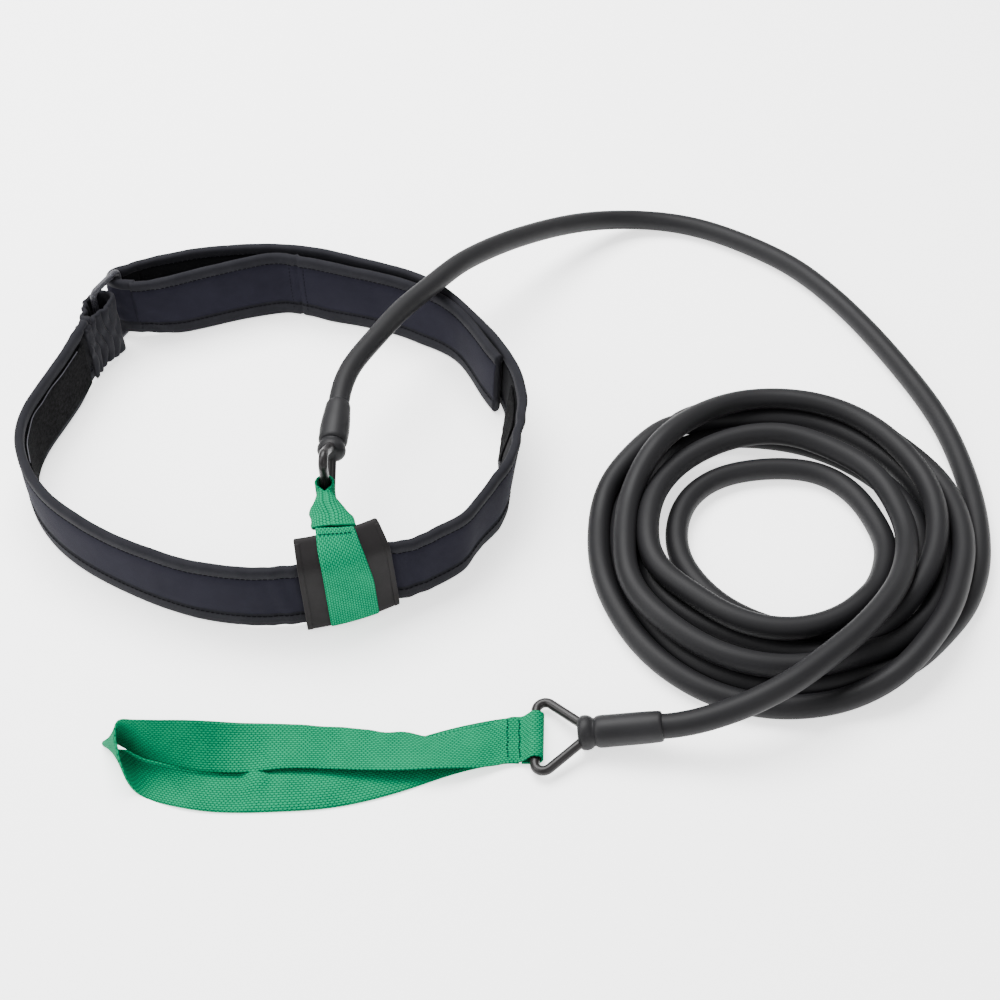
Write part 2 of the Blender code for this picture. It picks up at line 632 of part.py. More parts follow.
# ---------------------------------------------------------------- the tube
arc_route = [tuple(bar_a + axis_a * TUBE_START), tuple(bar_a + axis_a * 0.0755)] + [
    (-0.0958, 0.0430, 0.0672), (-0.0900, 0.0590, 0.0672), (-0.0782, 0.0831, 0.0660), (-0.0642, 0.1110, 0.0635),
    (-0.0517, 0.1307, 0.0612), (-0.0318, 0.1594, 0.0588), (-0.0238, 0.1700, 0.0570), (-0.0035, 0.1945, 0.0500),
    (0.0286, 0.2295, 0.0360), (0.0623, 0.2583, 0.0220), (0.0969, 0.2751, 0.0112), (0.1308, 0.2755, 0.0076),
    (0.1632, 0.2623, 0.0074), (0.1942, 0.2410, 0.0074), (0.2140, 0.2226, 0.0074), (0.2324, 0.1978, 0.0074),
    (0.2494, 0.1683, 0.0074), (0.2651, 0.1347, 0.0074), (0.2795, 0.0984, 0.0074), (0.2921, 0.0544, 0.0074),
    (0.2976, 0.0130, 0.0074)]
arc_path = smooth(arc_route, 0.002)
tube_object("tube_bend", squared(arc_path, 0.0, 0.100, 0.014), TUBE_RADIUS, RUBBER)
tube_object("tube_arc", squared(arc_path, 0.1004, None, 0.024), TUBE_RADIUS, RUBBER)

lead_route = [tuple(bar_b + axis_b * TUBE_START), tuple(bar_b + axis_b * 0.0780)] + [
    (0.1130, -0.1860, 0.0248), (0.1321, -0.1810, 0.0312), (0.1536, -0.1730, 0.0358), (0.1772, -0.1611, 0.0363),
    (0.2135, -0.1301, 0.0363), (0.2319, -0.1119, 0.0363)]
tube_object("tube_lead", squared(smooth(lead_route, 0.002), 0.0, None, 0.018), TUBE_RADIUS, RUBBER)

turned_object("tube_coil", [
    (COIL_OUTER, COIL_HEIGHT - 0.0130), (COIL_OUTER, 0.0), (COIL_INNER, 0.0), (COIL_INNER, COIL_HEIGHT / 2),
    (COIL_INNER + 0.0175, COIL_HEIGHT - 0.0005), (COIL_OUTER - 0.0125, COIL_HEIGHT - 0.0005)],
    Matrix.Translation((*COIL_CENTRE, 0.0)), RUBBER, 40, closed=True)

# ---------------------------------------------------------------- hand loop
# One strip. It runs along the floor to the left, turns round there with its front
# selvedge rising, comes back leaning over itself, goes round the far ring's bar and
# ends against its own start, where the layers are sewn together. Each station is
# the selvedge that is in front on the floor, then the other one.
near_y, far_y = BAR_B[1] - 0.01475, BAR_B[1] + 0.01475
skew = 0.01475 * float(across_b[0] / across_b[1])  # the bar isn't quite square to +X
loop_r = RING_WIRE / 2 + 0.0006 + WEBBING_THICK / 2
hand_stations = [
    (0.0110 - skew, near_y, 0.0011, 0.0110 + skew, far_y, 0.0011),
    (0.0030 - skew, near_y, 0.0011, 0.0030 + skew, far_y, 0.0011),
    (-0.0242, -0.2058, 0.0010, -0.0290, -0.1775, 0.0010),
    (-0.0529, -0.2170, 0.0010, -0.0605, -0.1890, 0.0010),
    (-0.0881, -0.2270, 0.0010, -0.0930, -0.1985, 0.0010),
    (-0.1200, -0.2300, 0.0010, -0.1215, -0.2010, 0.0010),
    (-0.1520, -0.2304, 0.0010, -0.1515, -0.2014, 0.0010),
    (-0.1780, -0.2262, 0.0010, -0.1810, -0.1975, 0.0010),
    (-0.1964, -0.2191, 0.0014, -0.2048, -0.1914, 0.0010),
    (-0.2021, -0.2152, 0.0100, -0.2121, -0.1907, 0.0011),
    (-0.2058, -0.2081, 0.0192, -0.2178, -0.1891, 0.0014),
    (-0.2077, -0.2016, 0.0236, -0.2208, -0.1874, 0.0020),
    (-0.2086, -0.1969, 0.0277, -0.2192, -0.1861, 0.0030),
    (-0.2065, -0.1932, 0.0317, -0.2129, -0.1881, 0.0040),
    (-0.2004, -0.1930, 0.0327, -0.2040, -0.1934, 0.0042),
    (-0.1934, -0.1928, 0.0324, -0.1956, -0.1977, 0.0042),
    (-0.1842, -0.1917, 0.0305, -0.1863, -0.2006, 0.0040),
    (-0.1685, -0.1903, 0.0278, -0.1700, -0.2052, 0.0040),
    (-0.1535, -0.1850, 0.0190, -0.1530, -0.2071, 0.0044),
    (-0.1396, -0.1790, 0.0094, -0.1372, -0.2072, 0.0048),
    (-0.1196, -0.1770, 0.0054, -0.1170, -0.2059, 0.0060),
    (-0.0933, -0.1780, 0.0049, -0.0912, -0.2069, 0.0070),
    (-0.0727, -0.1795, 0.0038, -0.0708, -0.2079, 0.0080),
    (-0.0537, -0.1806, 0.0033, -0.0522, -0.2086, 0.0090),
    (-0.0369, -0.1822, 0.0031, -0.0347, -0.2086, 0.0110),
    (-0.0168, -0.1784, 0.0031, -0.0164, -0.2060, 0.0070),
    (-0.0010, -0.1735, 0.0030, -0.0010, -0.2018, 0.0034),
    (0.0060 + skew, far_y - 0.0004, 0.0030, 0.0060 - skew, near_y - 0.0006, 0.0030),
    (0.0120 + skew, far_y, 0.0030, 0.0120 - skew, near_y, 0.0030),
]
for degrees in (128, 90, 50, 10, -30, -70, -105):
    a = math.radians(degrees)
    x, z = BAR_B[0] + loop_r * math.cos(a), BAR_B[2] + loop_r * math.sin(a)
    hand_stations.append((x + skew, far_y, z, x - skew, near_y, z))
hand_stations.append((0.0124 + skew, far_y, 0.0011, 0.0124 - skew, near_y, 0.0011))
sheet_object("hand_loop", ribbon(hand_stations, 104, False), WEBBING_THICK, WEBBING, origin=BAR_B)
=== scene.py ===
"""Looks of the swim resistance belt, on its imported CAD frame.

Positions are written in the working frame of the part's own source and every mesh
is shifted by ORIGIN. Metres, +Z up.
"""

import json
import math

import bpy
import numpy as np
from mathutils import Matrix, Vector

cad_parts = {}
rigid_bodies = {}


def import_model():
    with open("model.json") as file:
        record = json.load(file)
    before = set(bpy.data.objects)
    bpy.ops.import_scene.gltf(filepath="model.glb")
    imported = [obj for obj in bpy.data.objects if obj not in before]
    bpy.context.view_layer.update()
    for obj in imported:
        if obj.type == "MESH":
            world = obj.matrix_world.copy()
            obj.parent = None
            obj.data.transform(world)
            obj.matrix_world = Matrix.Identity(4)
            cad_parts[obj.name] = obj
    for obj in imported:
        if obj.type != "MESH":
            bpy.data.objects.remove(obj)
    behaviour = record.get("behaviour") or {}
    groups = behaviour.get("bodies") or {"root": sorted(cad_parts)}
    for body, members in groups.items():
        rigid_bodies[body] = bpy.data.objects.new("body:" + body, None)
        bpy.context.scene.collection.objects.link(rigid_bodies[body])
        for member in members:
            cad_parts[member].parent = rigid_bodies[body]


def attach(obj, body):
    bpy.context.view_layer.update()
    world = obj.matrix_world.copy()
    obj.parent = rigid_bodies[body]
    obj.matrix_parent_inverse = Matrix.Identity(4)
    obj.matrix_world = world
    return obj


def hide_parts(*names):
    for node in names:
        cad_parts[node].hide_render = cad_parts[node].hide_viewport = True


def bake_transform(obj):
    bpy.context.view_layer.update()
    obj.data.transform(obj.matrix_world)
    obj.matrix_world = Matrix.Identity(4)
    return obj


for old in list(bpy.data.objects):
    bpy.data.objects.remove(old, do_unlink=True)

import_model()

ORIGIN = (-0.1384, -0.0158)
SHIFT = np.array((ORIGIN[0], ORIGIN[1], 0.0))


def here(point):
    """A point of the working frame, in the row frame."""
    return tuple(float(v) for v in np.array(point, float) - SHIFT)


# ---------------------------------------------------------------- camera
camera = bpy.data.cameras.new("camera")
camera.lens = 58.75
camera.sensor_width = 36.0
camera_object = bpy.data.objects.new("camera", camera)
bpy.context.scene.collection.objects.link(camera_object)
camera_object.location = here((0.0, -0.7072, 0.7584))
camera_object.rotation_euler = (math.radians(43), 0.0, 0.0)
bpy.context.scene.camera = camera_object

# ---------------------------------------------------------------- sizes
BELT_HEIGHT = 0.050
GATHERED_HEIGHT = 0.0450
ARC_CENTRE = (-0.1393, 0.0444)
ARC_RADIUS = 0.1470
SLIDER_ANGLE = (20.5, 19.4)
SLIDER_HALF = (10.5, 10.0)
SLIDER_TOP = 0.0662
SLIDER_SHEET = 0.0016
BELT_LIFT = 0.0026
WEBBING_WIDTH = 0.0285
WEBBING_THICK = 0.0014
BAR_A = np.array((-0.1027, -0.0453, 0.0599))
AXIS_A = np.array((0.055, 0.994, 0.0875))
BAR_B = np.array((0.0197, -0.1847, 0.0049))
AXIS_B = np.array((0.9804, -0.0342, 0.1942))
RING_WIRE = 0.0055
TUBE_RADIUS = 0.0070
TUBE_START = 0.0720
COIL_CENTRE = (0.1780, -0.0430)
BUCKLE_WIRE = 0.0044
BUCKLE_TOP = 0.0560
BUCKLE_BOTTOM = 0.0006
BUCKLE_FREE = np.array((-0.2605, 0.1632))
BUCKLE_HELD = np.array((-0.2728, 0.1385))
AXIS_A /= np.linalg.norm(AXIS_A)
AXIS_B /= np.linalg.norm(AXIS_B)
ACROSS_A = np.array((0.0, 0.0, 1.0)) - AXIS_A * AXIS_A[2]
ACROSS_A /= np.linalg.norm(ACROSS_A)
ACROSS_B = np.cross(AXIS_B, (0.0, 0.0, 1.0))
ACROSS_B /= -np.linalg.norm(ACROSS_B)
SIDE_A, SIDE_B = np.cross(AXIS_A, ACROSS_A), np.cross(ACROSS_B, AXIS_B)


# ---------------------------------------------------------------- materials
def srgb(r, g, b):
    def one(c):
        c /= 255.0
        return c / 12.92 if c <= 0.04045 else ((c + 0.055) / 1.055) ** 2.4

    return (one(r), one(g), one(b), 1.0)


class Maker:
    """A Principled material built node by node."""

    def __init__(self, name, colour, rough, metal=0.0, coat=0.0, sheen=0.0, spec=0.5):
        self.material = bpy.data.materials.new(name)
        self.material.use_nodes = True
        self.tree = self.material.node_tree
        self.shader = self.tree.nodes["Principled BSDF"]
        self.shader.inputs["Base Color"].default_value = colour
        self.shader.inputs["Roughness"].default_value = rough
        self.shader.inputs["Metallic"].default_value = metal
        self.shader.inputs["Specular IOR Level"].default_value = spec
        self.shader.inputs["Coat Weight"].default_value = coat
        self.shader.inputs["Coat Roughness"].default_value = 0.12
        self.shader.inputs["Sheen Weight"].default_value = sheen
        self.shader.inputs["Sheen Roughness"].default_value = 0.45
        self.height = None
        self.material.diffuse_color = colour

    def node(self, kind, **values):
        made = self.tree.nodes.new(kind)
        for key, value in values.items():
            setattr(made, key, value)
        return made

    def join(self, a, b):
        self.tree.links.new(a, b)

    def uv(self, su=1.0, sv=1.0):
        coord = self.node("ShaderNodeTexCoord")
        scale = self.node("ShaderNodeMapping")
        scale.inputs["Scale"].default_value = (su, sv, 1.0)
        self.join(coord.outputs["UV"], scale.inputs["Vector"])
        return scale.outputs["Vector"]

    def space(self, s=1.0):
        coord = self.node("ShaderNodeTexCoord")
        scale = self.node("ShaderNodeMapping")
        scale.inputs["Scale"].default_value = (s, s, s)
        self.join(coord.outputs["Object"], scale.inputs["Vector"])
        return scale.outputs["Vector"]

    def math(self, op, a, b=None, c=None, clamp=False):
        made = self.node("ShaderNodeMath", operation=op, use_clamp=clamp)
        for slot, value in zip(made.inputs, (a, b, c)):
            if value is None:
                continue
            if isinstance(value, (int, float)):
                slot.default_value = value
            else:
                self.join(value, slot)
        return made.outputs[0]

    def noise(self, vector, scale, detail=3.0, rough=0.55):
        made = self.node("ShaderNodeTexNoise")
        made.inputs["Scale"].default_value = scale
        made.inputs["Detail"].default_value = detail
        made.inputs["Roughness"].default_value = rough
        self.join(vector, made.inputs["Vector"])
        return made.outputs["Fac"]

    def bump(self, height, strength, distance):
        made = self.node("ShaderNodeBump")
        made.inputs["Strength"].default_value = strength
        made.inputs["Distance"].default_value = distance
        self.join(height, made.inputs["Height"])
        if self.height is not None:
            self.join(self.height, made.inputs["Normal"])
        self.height = made.outputs["Normal"]
        self.join(self.height, self.shader.inputs["Normal"])

    def tint(self, fac, low, high):
        made = self.node("ShaderNodeMix", data_type="RGBA")
        made.inputs[6].default_value = low
        made.inputs[7].default_value = high
        self.join(fac, made.inputs[0])
        self.join(made.outputs[2], self.shader.inputs["Base Color"])
        return made.outputs[2]

    def ramp(self, fac, a, b):
        """0 below a, 1 above b."""
        made = self.node("ShaderNodeMapRange")
        made.inputs["From Min"].default_value = a
        made.inputs["From Max"].default_value = b
        self.join(fac, made.inputs["Value"])
        return made.outputs["Result"]


def webbing_material(name, low, high, pitch_u=0.0023, pitch_v=0.00140):
    m = Maker(name, high, 0.8, spec=0.03)
    vector = m.uv()
    parts = m.node("ShaderNodeSeparateXYZ")
    m.join(vector, parts.inputs[0])
    v = m.math("DIVIDE", parts.outputs[1], pitch_v)
    row = m.math("FLOOR", v)
    u = m.math("ADD", m.math("DIVIDE", parts.outputs[0], pitch_u), m.math("MULTIPLY", row, 0.5))
    fu = m.math("MULTIPLY", m.math("SUBTRACT", m.math("FRACT", u), 0.5), 2.0)
    fv = m.math("MULTIPLY", m.math("SUBTRACT", m.math("FRACT", v), 0.5), 2.0)
    oval = m.math("SUBTRACT", 1.0, m.math("ADD", m.math("MULTIPLY", m.math("MULTIPLY", fu, fu), 0.92),
                                          m.math("MULTIPLY", m.math("MULTIPLY", fv, fv), 0.80)), clamp=True)
    height = m.math("POWER", oval, 0.5)
    fine = m.noise(m.uv(1.0, 6.0), 900.0, 2.0)
    m.bump(m.math("ADD", height, m.math("MULTIPLY", fine, 0.25)), 0.8, 0.0004)
    wide = m.noise(m.uv(), 60.0, 3.0)
    # the weave's gaps are painted much darker as shade (the low colour), with random tone from the wide noise on top
    gap_shade_and_tone = m.math("ADD", m.math("MULTIPLY", height, 0.75), m.math("MULTIPLY", wide, 0.35), clamp=True)
    m.tint(gap_shade_and_tone, low, high)
    return m.material


def fabric_material(name, colour, other, rough, scale=1.0, sheen=0.2, bump=0.35):
    m = Maker(name, colour, rough, sheen=sheen, spec=0.06)
    fine = m.noise(m.uv(), 2600.0 * scale, 2.0)
    wide = m.noise(m.uv(), 45.0, 4.0)
    m.bump(fine, bump, 0.00025)
    m.bump(wide, 0.25, 0.0012)
    m.tint(m.ramp(wide, 0.3, 0.7), colour, other)
    return m.material


def ribbed_material(name, colour, other, rough, pitch):
    m = Maker(name, colour, rough, sheen=0.02, spec=0.08)
    parts = m.node("ShaderNodeSeparateXYZ")
    m.join(m.uv(), parts.inputs[0])
    wave = m.math("SINE", m.math("MULTIPLY", parts.outputs[0], 2 * math.pi / pitch))
    m.bump(wave, 0.25, 0.0002)
    fine = m.noise(m.uv(), 1500.0, 3.0)
    m.bump(fine, 0.35, 0.0003)
    wide = m.noise(m.uv(), 70.0, 3.0)
    m.tint(m.ramp(wide, 0.3, 0.7), colour, other)
    return m.material


def pile_material(name, colour, other):
    m = Maker(name, colour, 0.97, spec=0.03)
    clumps = m.noise(m.uv(), 420.0, 5.0, 0.7)
    fine = m.noise(m.uv(), 2400.0, 3.0, 0.7)
    m.bump(clumps, 1.0, 0.0016)
    m.bump(fine, 0.8, 0.0006)
    m.tint(m.ramp(clumps, 0.38, 0.66), colour, other)
    return m.material


def rubber_material(name, colour, other, rough, streak=True, spec=0.42):
    m = Maker(name, colour, rough, spec=spec)
    wide = m.noise(m.uv(3.0, 60.0) if streak else m.space(60.0), 4.0 if streak else 1.0, 4.0)
    fine = m.noise(m.space(1.0), 2200.0, 2.0)
    m.bump(fine, 0.18, 0.00012)
    m.bump(wide, 0.12, 0.0004)
    m.tint(m.ramp(wide, 0.3, 0.7), colour, other)
    rough_shift = m.math("ADD", m.math("MULTIPLY", m.noise(m.space(1.0), 35.0, 3.0), 0.14), rough - 0.07)
    m.join(rough_shift, m.shader.inputs["Roughness"])
    return m.material


WEBBING = webbing_material("woven_green", (0.0, 0.020, 0.008, 1.0), (0.0, 0.235, 0.102, 1.0))
# a copy of the green webbing with a brighter high colour, painted lighter to stand for the stronger light on the
# sleeve's front
WEBBING_PAINTED_LIT = webbing_material("woven_green_painted_lit", (0.0, 0.016, 0.006, 1.0), (0.0, 0.290, 0.130, 1.0))
THREAD_DARK = Maker("seam_thread", (0.0, 0.014, 0.009, 1.0), 0.75, spec=0.1).material
NAVY = fabric_material("navy_knit", (0.0076, 0.0074, 0.0125, 1), (0.0102, 0.0099, 0.0160, 1), 0.85, sheen=0.01)
LINING = fabric_material("black_knit", (0.0050, 0.0050, 0.0058, 1), (0.0075, 0.0075, 0.0083, 1), 0.95, sheen=0.0)
BINDING = ribbed_material("bound_edge", (0.0092, 0.0092, 0.0118, 1), (0.0124, 0.0124, 0.0152, 1), 0.82, 0.0009)
PILE = pile_material("loop_pile", (0.0022, 0.0022, 0.0024, 1), (0.0120, 0.0120, 0.0128, 1))
HOOK = pile_material("hook_pile", (0.0022, 0.0022, 0.0024, 1), (0.0080, 0.0080, 0.0086, 1))
# the light grey along the pile patch's free edge is a painted highlight
EDGE_HIGHLIGHT = fabric_material("patch_edge_highlight", srgb(58, 58, 64), srgb(78, 78, 84), 0.8)
PANEL = fabric_material("sleeve_cloth", (0.0122, 0.0112, 0.0115, 1), (0.0152, 0.0140, 0.0144, 1), 0.62, 0.7, 0.01, 0.2)
DARK_THREAD = Maker("dark_thread", srgb(7, 7, 10), 0.9, spec=0.04).material
RUBBER = rubber_material("elastic_tube", (0.0062, 0.0061, 0.0069, 1), (0.0088, 0.0087, 0.0097, 1), 0.55, spec=0.16)
MOULDED = rubber_material("moulded_rubber_soft", (0.0082, 0.0081, 0.0090, 1), (0.0108, 0.0107, 0.0118, 1), 0.50, False, spec=0.17)
RING = Maker("black_coat", (0.0085, 0.0074, 0.0078, 1), 0.36, spec=0.24).material


def buckle_material():
    m = Maker("grey_flake", srgb(48, 48, 54), 0.5, metal=0.1, coat=0.05, spec=0.3)
    fleck = m.noise(m.space(1.0), 1500.0, 2.0, 0.8)
    m.tint(m.ramp(fleck, 0.52, 0.68), srgb(36, 36, 41), srgb(88, 88, 95))
    m.bump(m.noise(m.space(1.0), 1100.0, 3.0), 0.4, 0.0003)
    return m.material


BUCKLE = buckle_material()


# ---------------------------------------------------------------- curves
def smooth(points, spacing):
    """Points at an even spacing along a smooth curve through the given ones."""
    p = np.array(points, float)
    t = np.concatenate([[0], np.cumsum(np.sqrt(np.linalg.norm(np.diff(p, axis=0), axis=1)))])
    n, h = len(p), np.diff(t)
    a, r = np.zeros((n, n)), np.zeros(p.shape)
    a[0, 0] = a[-1, -1] = 1.0
    for i in range(1, n - 1):
        a[i, i - 1], a[i, i], a[i, i + 1] = h[i - 1], 2 * (h[i - 1] + h[i]), h[i]
        r[i] = 6 * ((p[i + 1] - p[i]) / h[i] - (p[i] - p[i - 1]) / h[i - 1])
    m = np.linalg.solve(a, r)
    out = []
    for i in range(n - 1):
        u = np.linspace(0, h[i], 24, endpoint=i == n - 2)[:, None]
        w = h[i] - u
        out.append((m[i] * w**3 + m[i + 1] * u**3) / (6 * h[i])
                   + (p[i] / h[i] - m[i] * h[i] / 6) * w + (p[i + 1] / h[i] - m[i + 1] * h[i] / 6) * u)
    out = np.vstack(out)
    return even(out, spacing=spacing)


def distances(path):
    return np.concatenate([[0], np.cumsum(np.linalg.norm(np.diff(path, axis=0), axis=1))])


def even(path, spacing=None, count=None, start=0.0, end=None):
    s = distances(path)
    end = s[-1] if end is None else end
    if count is None:
        count = max(2, int(round((end - start) / spacing)) + 1)
    want = np.linspace(start, end, count)
    return np.stack([np.interp(want, s, path[:, k]) for k in range(path.shape[1])], axis=1)


def flat3(points):
    p = np.array(points, float)
    return np.hstack([p, np.zeros((len(p), 1))]) if p.shape[1] == 2 else p


def units(v):
    return v / np.maximum(np.linalg.norm(v, axis=-1, keepdims=True), 1e-12)


def left_normals(path):
    t = np.gradient(path, axis=0)
    t[:, 2] = 0
    t = units(t)
    return np.stack([-t[:, 1], t[:, 0], np.zeros(len(t))], axis=1)


def wobble(s, seed, lengths=(0.11, 0.057, 0.031), shares=(0.55, 0.3, 0.15)):
    """A gentle unevenness between about -1 and 1."""
    total = np.zeros(np.shape(s))
    for k, (long, share) in enumerate(zip(lengths, shares)):
        total = total + share * np.sin(2 * math.pi * np.asarray(s) / long + seed * (1.7 + k) + k * 2.1)
    return total


def bell(x, centre, half):
    """1 at the centre, 0 from half away."""
    d = np.clip(np.abs((np.asarray(x) - centre) / half), 0, 1)
    return (1 - d * d) ** 2


def ease(x, a, b):
    t = np.clip((np.asarray(x, float) - a) / (b - a), 0, 1)
    return t * t * (3 - 2 * t)


# ---------------------------------------------------------------- meshes
def mesh_object(name, verts, faces, uvs, mats, which=None, soft=True):
    """Faces are lists of vertex numbers, uvs one pair for each corner of each face."""
    mesh = bpy.data.meshes.new(name)
    mesh.from_pydata((np.asarray(verts) - SHIFT).tolist(), [], faces)
    layer = mesh.uv_layers.new(name="UVMap")
    layer.data.foreach_set("uv", np.asarray(uvs, np.float32).reshape(-1))
    for m in mats:
        mesh.materials.append(m)
    if which is not None:
        mesh.polygons.foreach_set("material_index", np.asarray(which, np.int32))
    mesh.polygons.foreach_set("use_smooth", np.full(len(mesh.polygons), soft))
    mesh.update()
    obj = bpy.data.objects.new(name, mesh)
    bpy.context.scene.collection.objects.link(obj)
    return obj


def loft(name, rows, mats, v=None, u=None, columns=None, closed=False, caps=True):
    """A skin over closed rings of points. v holds one more value than a ring has points."""
    rows = np.asarray(rows, float)
    n, k, _ = rows.shape
    if u is None:
        u = distances(rows.mean(axis=1))
        if closed:
            u = np.append(u, u[-1] + np.linalg.norm(rows[-1].mean(axis=0) - rows[0].mean(axis=0)))
    if v is None:
        ring = rows[n // 2]
        v = np.append(0, np.cumsum(np.linalg.norm(np.roll(ring, -1, axis=0) - ring, axis=1)))
    count = n if closed else n - 1
    i, j = np.arange(count)[:, None], np.arange(k)[None, :]
    a = i * k + j
    b = ((i + 1) % n) * k + j
    c = ((i + 1) % n) * k + (j + 1) % k
    d = i * k + (j + 1) % k
    faces = np.stack(np.broadcast_arrays(a, b, c, d), -1).reshape(-1, 4)
    ui, uj = np.broadcast_arrays(u[:count][:, None], np.zeros(k)[None, :])
    u2 = np.broadcast_to(u[1:count + 1][:, None] if len(u) > count else np.append(u[1:], u[-1])[:, None], (count, k))
    v1, v2 = np.broadcast_to(v[:k][None, :], (count, k)), np.broadcast_to(v[1:][None, :], (count, k))
    uvs = np.stack([np.stack([ui, v1], -1), np.stack([u2, v1], -1), np.stack([u2, v2], -1), np.stack([ui, v2], -1)], 2)
    uvs = uvs.reshape(-1, 4, 2)
    verts = rows.reshape(-1, 3)
    p = verts - verts.mean(axis=0)
    volume = np.einsum("ij,ij->i", p[faces[:, 0]], np.cross(p[faces[:, 1]], p[faces[:, 2]])).sum() + \
        np.einsum("ij,ij->i", p[faces[:, 0]], np.cross(p[faces[:, 2]], p[faces[:, 3]])).sum()
    flip = volume < 0
    if flip:
        faces, uvs = faces[:, ::-1], uvs[:, ::-1]
    which = np.zeros(len(faces), int) if columns is None else np.tile(np.asarray(columns), count)
    faces = faces.tolist()
    uvs = uvs.reshape(-1, 2)
    if caps and not closed:
        first, last = list(range(k)), list(range((n - 1) * k, n * k))
        if flip:
            last.reverse()
        else:
            first.reverse()
        # the rings' turning sense is set by the skin's own faces
        faces += [first[::-1] if not flip else first[::-1], last[::-1] if not flip else last[::-1]]
        flat = np.zeros((2 * k, 2))
        flat[:k, 0] = u[0]
        flat[k:, 0] = u[-1]
        uvs = np.vstack([uvs, flat])
        which = np.append(which, [which[0] if columns is None else int(np.median(which)), which[0] if columns is None else int(np.median(which))])
    return mesh_object(name, verts, faces, uvs, mats, which)


def thick_sheet(name, grid, thick, mats, closed=False, u=None, v=None, lip=0.9, columns=None, caps=True):
    """A cloth of even thickness over a grid of points (length, width), with rounded edges."""
    grid = np.asarray(grid, float)
    n, m, _ = grid.shape
    if closed:
        du = np.roll(grid, -1, axis=0) - np.roll(grid, 1, axis=0)
    else:
        du = np.gradient(grid, axis=0)
    dv = np.gradient(grid, axis=1)
    normal = units(np.cross(du, dv))
    half = thick / 2 if np.isscalar(thick) else np.asarray(thick)[:, None, None] / 2
    top, low = grid + normal * half, grid - normal * half
    reach = lip * (thick / 2 if np.isscalar(thick) else np.asarray(thick)[:, None] / 2)
    end = grid[:, -1] + units(dv[:, -1]) * reach
    start = grid[:, 0] - units(dv[:, 0]) * reach
    rows = np.concatenate([top, end[:, None], low[:, ::-1], start[:, None]], axis=1)
    if v is None:
        v = distances(grid[n // 2])
    r = thick / 2 if np.isscalar(thick) else float(np.mean(thick)) / 2
    ring_v = np.concatenate([v, [v[-1] + r], v[::-1], [v[0] - r, v[0]]])
    if u is None:
        middle = grid[:, m // 2]
        u = distances(middle)
        if closed:
            u = np.append(u, u[-1] + np.linalg.norm(middle[-1] - middle[0]))
    return loft(name, rows, mats, v=ring_v, u=u, closed=closed, columns=columns, caps=caps)


def frames(path, up, closed=False):
    t = np.roll(path, -1, axis=0) - np.roll(path, 1, axis=0) if closed else np.gradient(path, axis=0)
    t = units(t)
    n = np.array(up, float)
    out = []
    for k in range(len(path)):
        n = n - t[k] * (n @ t[k])
        n = n / np.linalg.norm(n)
        out.append(n.copy())
    n = np.array(out)
    return t, n, np.cross(t, n)


def tube(name, path, radius, mats, sides=24, up=(0, 0, 1), closed=False, caps=True, lump=0.0, seed=1.0):
    path = np.asarray(path, float)
    t, n, b = frames(path, up, closed)
    s = distances(path)
    radius = np.broadcast_to(np.asarray(radius, float), (len(path),)).copy()
    if lump:
        radius = radius * (1 + lump * wobble(s, seed))
    angle = np.linspace(0, 2 * math.pi, sides, endpoint=False)
    ring = n[:, None] * np.cos(angle)[None, :, None] + b[:, None] * np.sin(angle)[None, :, None]
    rows = path[:, None] + ring * radius[:, None, None]
    v = np.linspace(0, 2 * math.pi * float(radius.mean()), sides + 1)
    u = np.append(s, s[-1] + np.linalg.norm(path[-1] - path[0])) if closed else s
    return loft(name, rows, mats, v=v, u=u, closed=closed, caps=caps)


def turned(name, profile, bar, axis, across, side, mats, steps=56, hollow=False, columns=None):
    """A profile of (radius, distance along the axis), turned about it."""
    angle = np.linspace(0, 2 * math.pi, steps, endpoint=False)
    ring = across[None] * np.cos(angle)[:, None] + side[None] * np.sin(angle)[:, None]
    rows = np.array([bar + axis * h + ring * max(r, 0.00002) for r, h in profile])
    u = distances(np.array(profile))
    if hollow:
        u = np.append(u, u[-1] + 0.001)
    return loft(name, rows, mats, u=u, v=np.linspace(0, 0.055, steps + 1), closed=hollow)


def capsules(name, ends, radius, mats, sides=5, sink=0.3):
    """Short threads. Each is (start, end, the way up), and its ends go down into the cloth."""
    verts, faces, uvs = [], [], []
    for p, q, up in ends:
        p, q, up = np.array(p, float), np.array(q, float), np.array(up, float)
        along = q - p
        long = np.linalg.norm(along)
        along = along / long
        up = units(up - along * (up @ along))
        side = np.cross(along, up)
        base = len(verts)
        shares = ((0.0, 0.35, -sink), (0.16, 0.9, 0.35), (0.5, 1.0, 0.7), (0.84, 0.9, 0.35), (1.0, 0.35, -sink))
        for share, wide, lift in shares:
            at = p + along * long * share + up * radius * lift
            for k in range(sides):
                a = 2 * math.pi * k / sides
                verts.append(at + (up * math.cos(a) + side * math.sin(a)) * radius * wide)
        for i in range(len(shares) - 1):
            for k in range(sides):
                j = (k + 1) % sides
                faces.append([base + i * sides + k, base + i * sides + j, base + (i + 1) * sides + j, base + (i + 1) * sides + k])
        faces.append([base + k for k in reversed(range(sides))])
        faces.append([base + (len(shares) - 1) * sides + k for k in range(sides)])
    corners = sum(len(f) for f in faces)
    return mesh_object(name, verts, faces, np.zeros((corners, 2)), mats)


def stitched(path, ups, pitch, long):
    """Thread ends at an even pitch along a path that lies on a surface."""
    s = distances(path)
    out = []
    for at in np.arange(pitch * 0.3, s[-1] - long, pitch):
        pick = [np.array([np.interp(x, s, path[:, k]) for k in range(3)]) for x in (at, at + long)]
        up = np.array([np.interp(at + long / 2, s, ups[:, k]) for k in range(3)])
        out.append((pick[0], pick[1], up))
    return out


# ---------------------------------------------------------------- the belt
def arc_point(degrees, radius=ARC_RADIUS):
    a = np.radians(degrees)
    return (ARC_CENTRE[0] + radius * np.sin(a), ARC_CENTRE[1] - radius * np.cos(a))


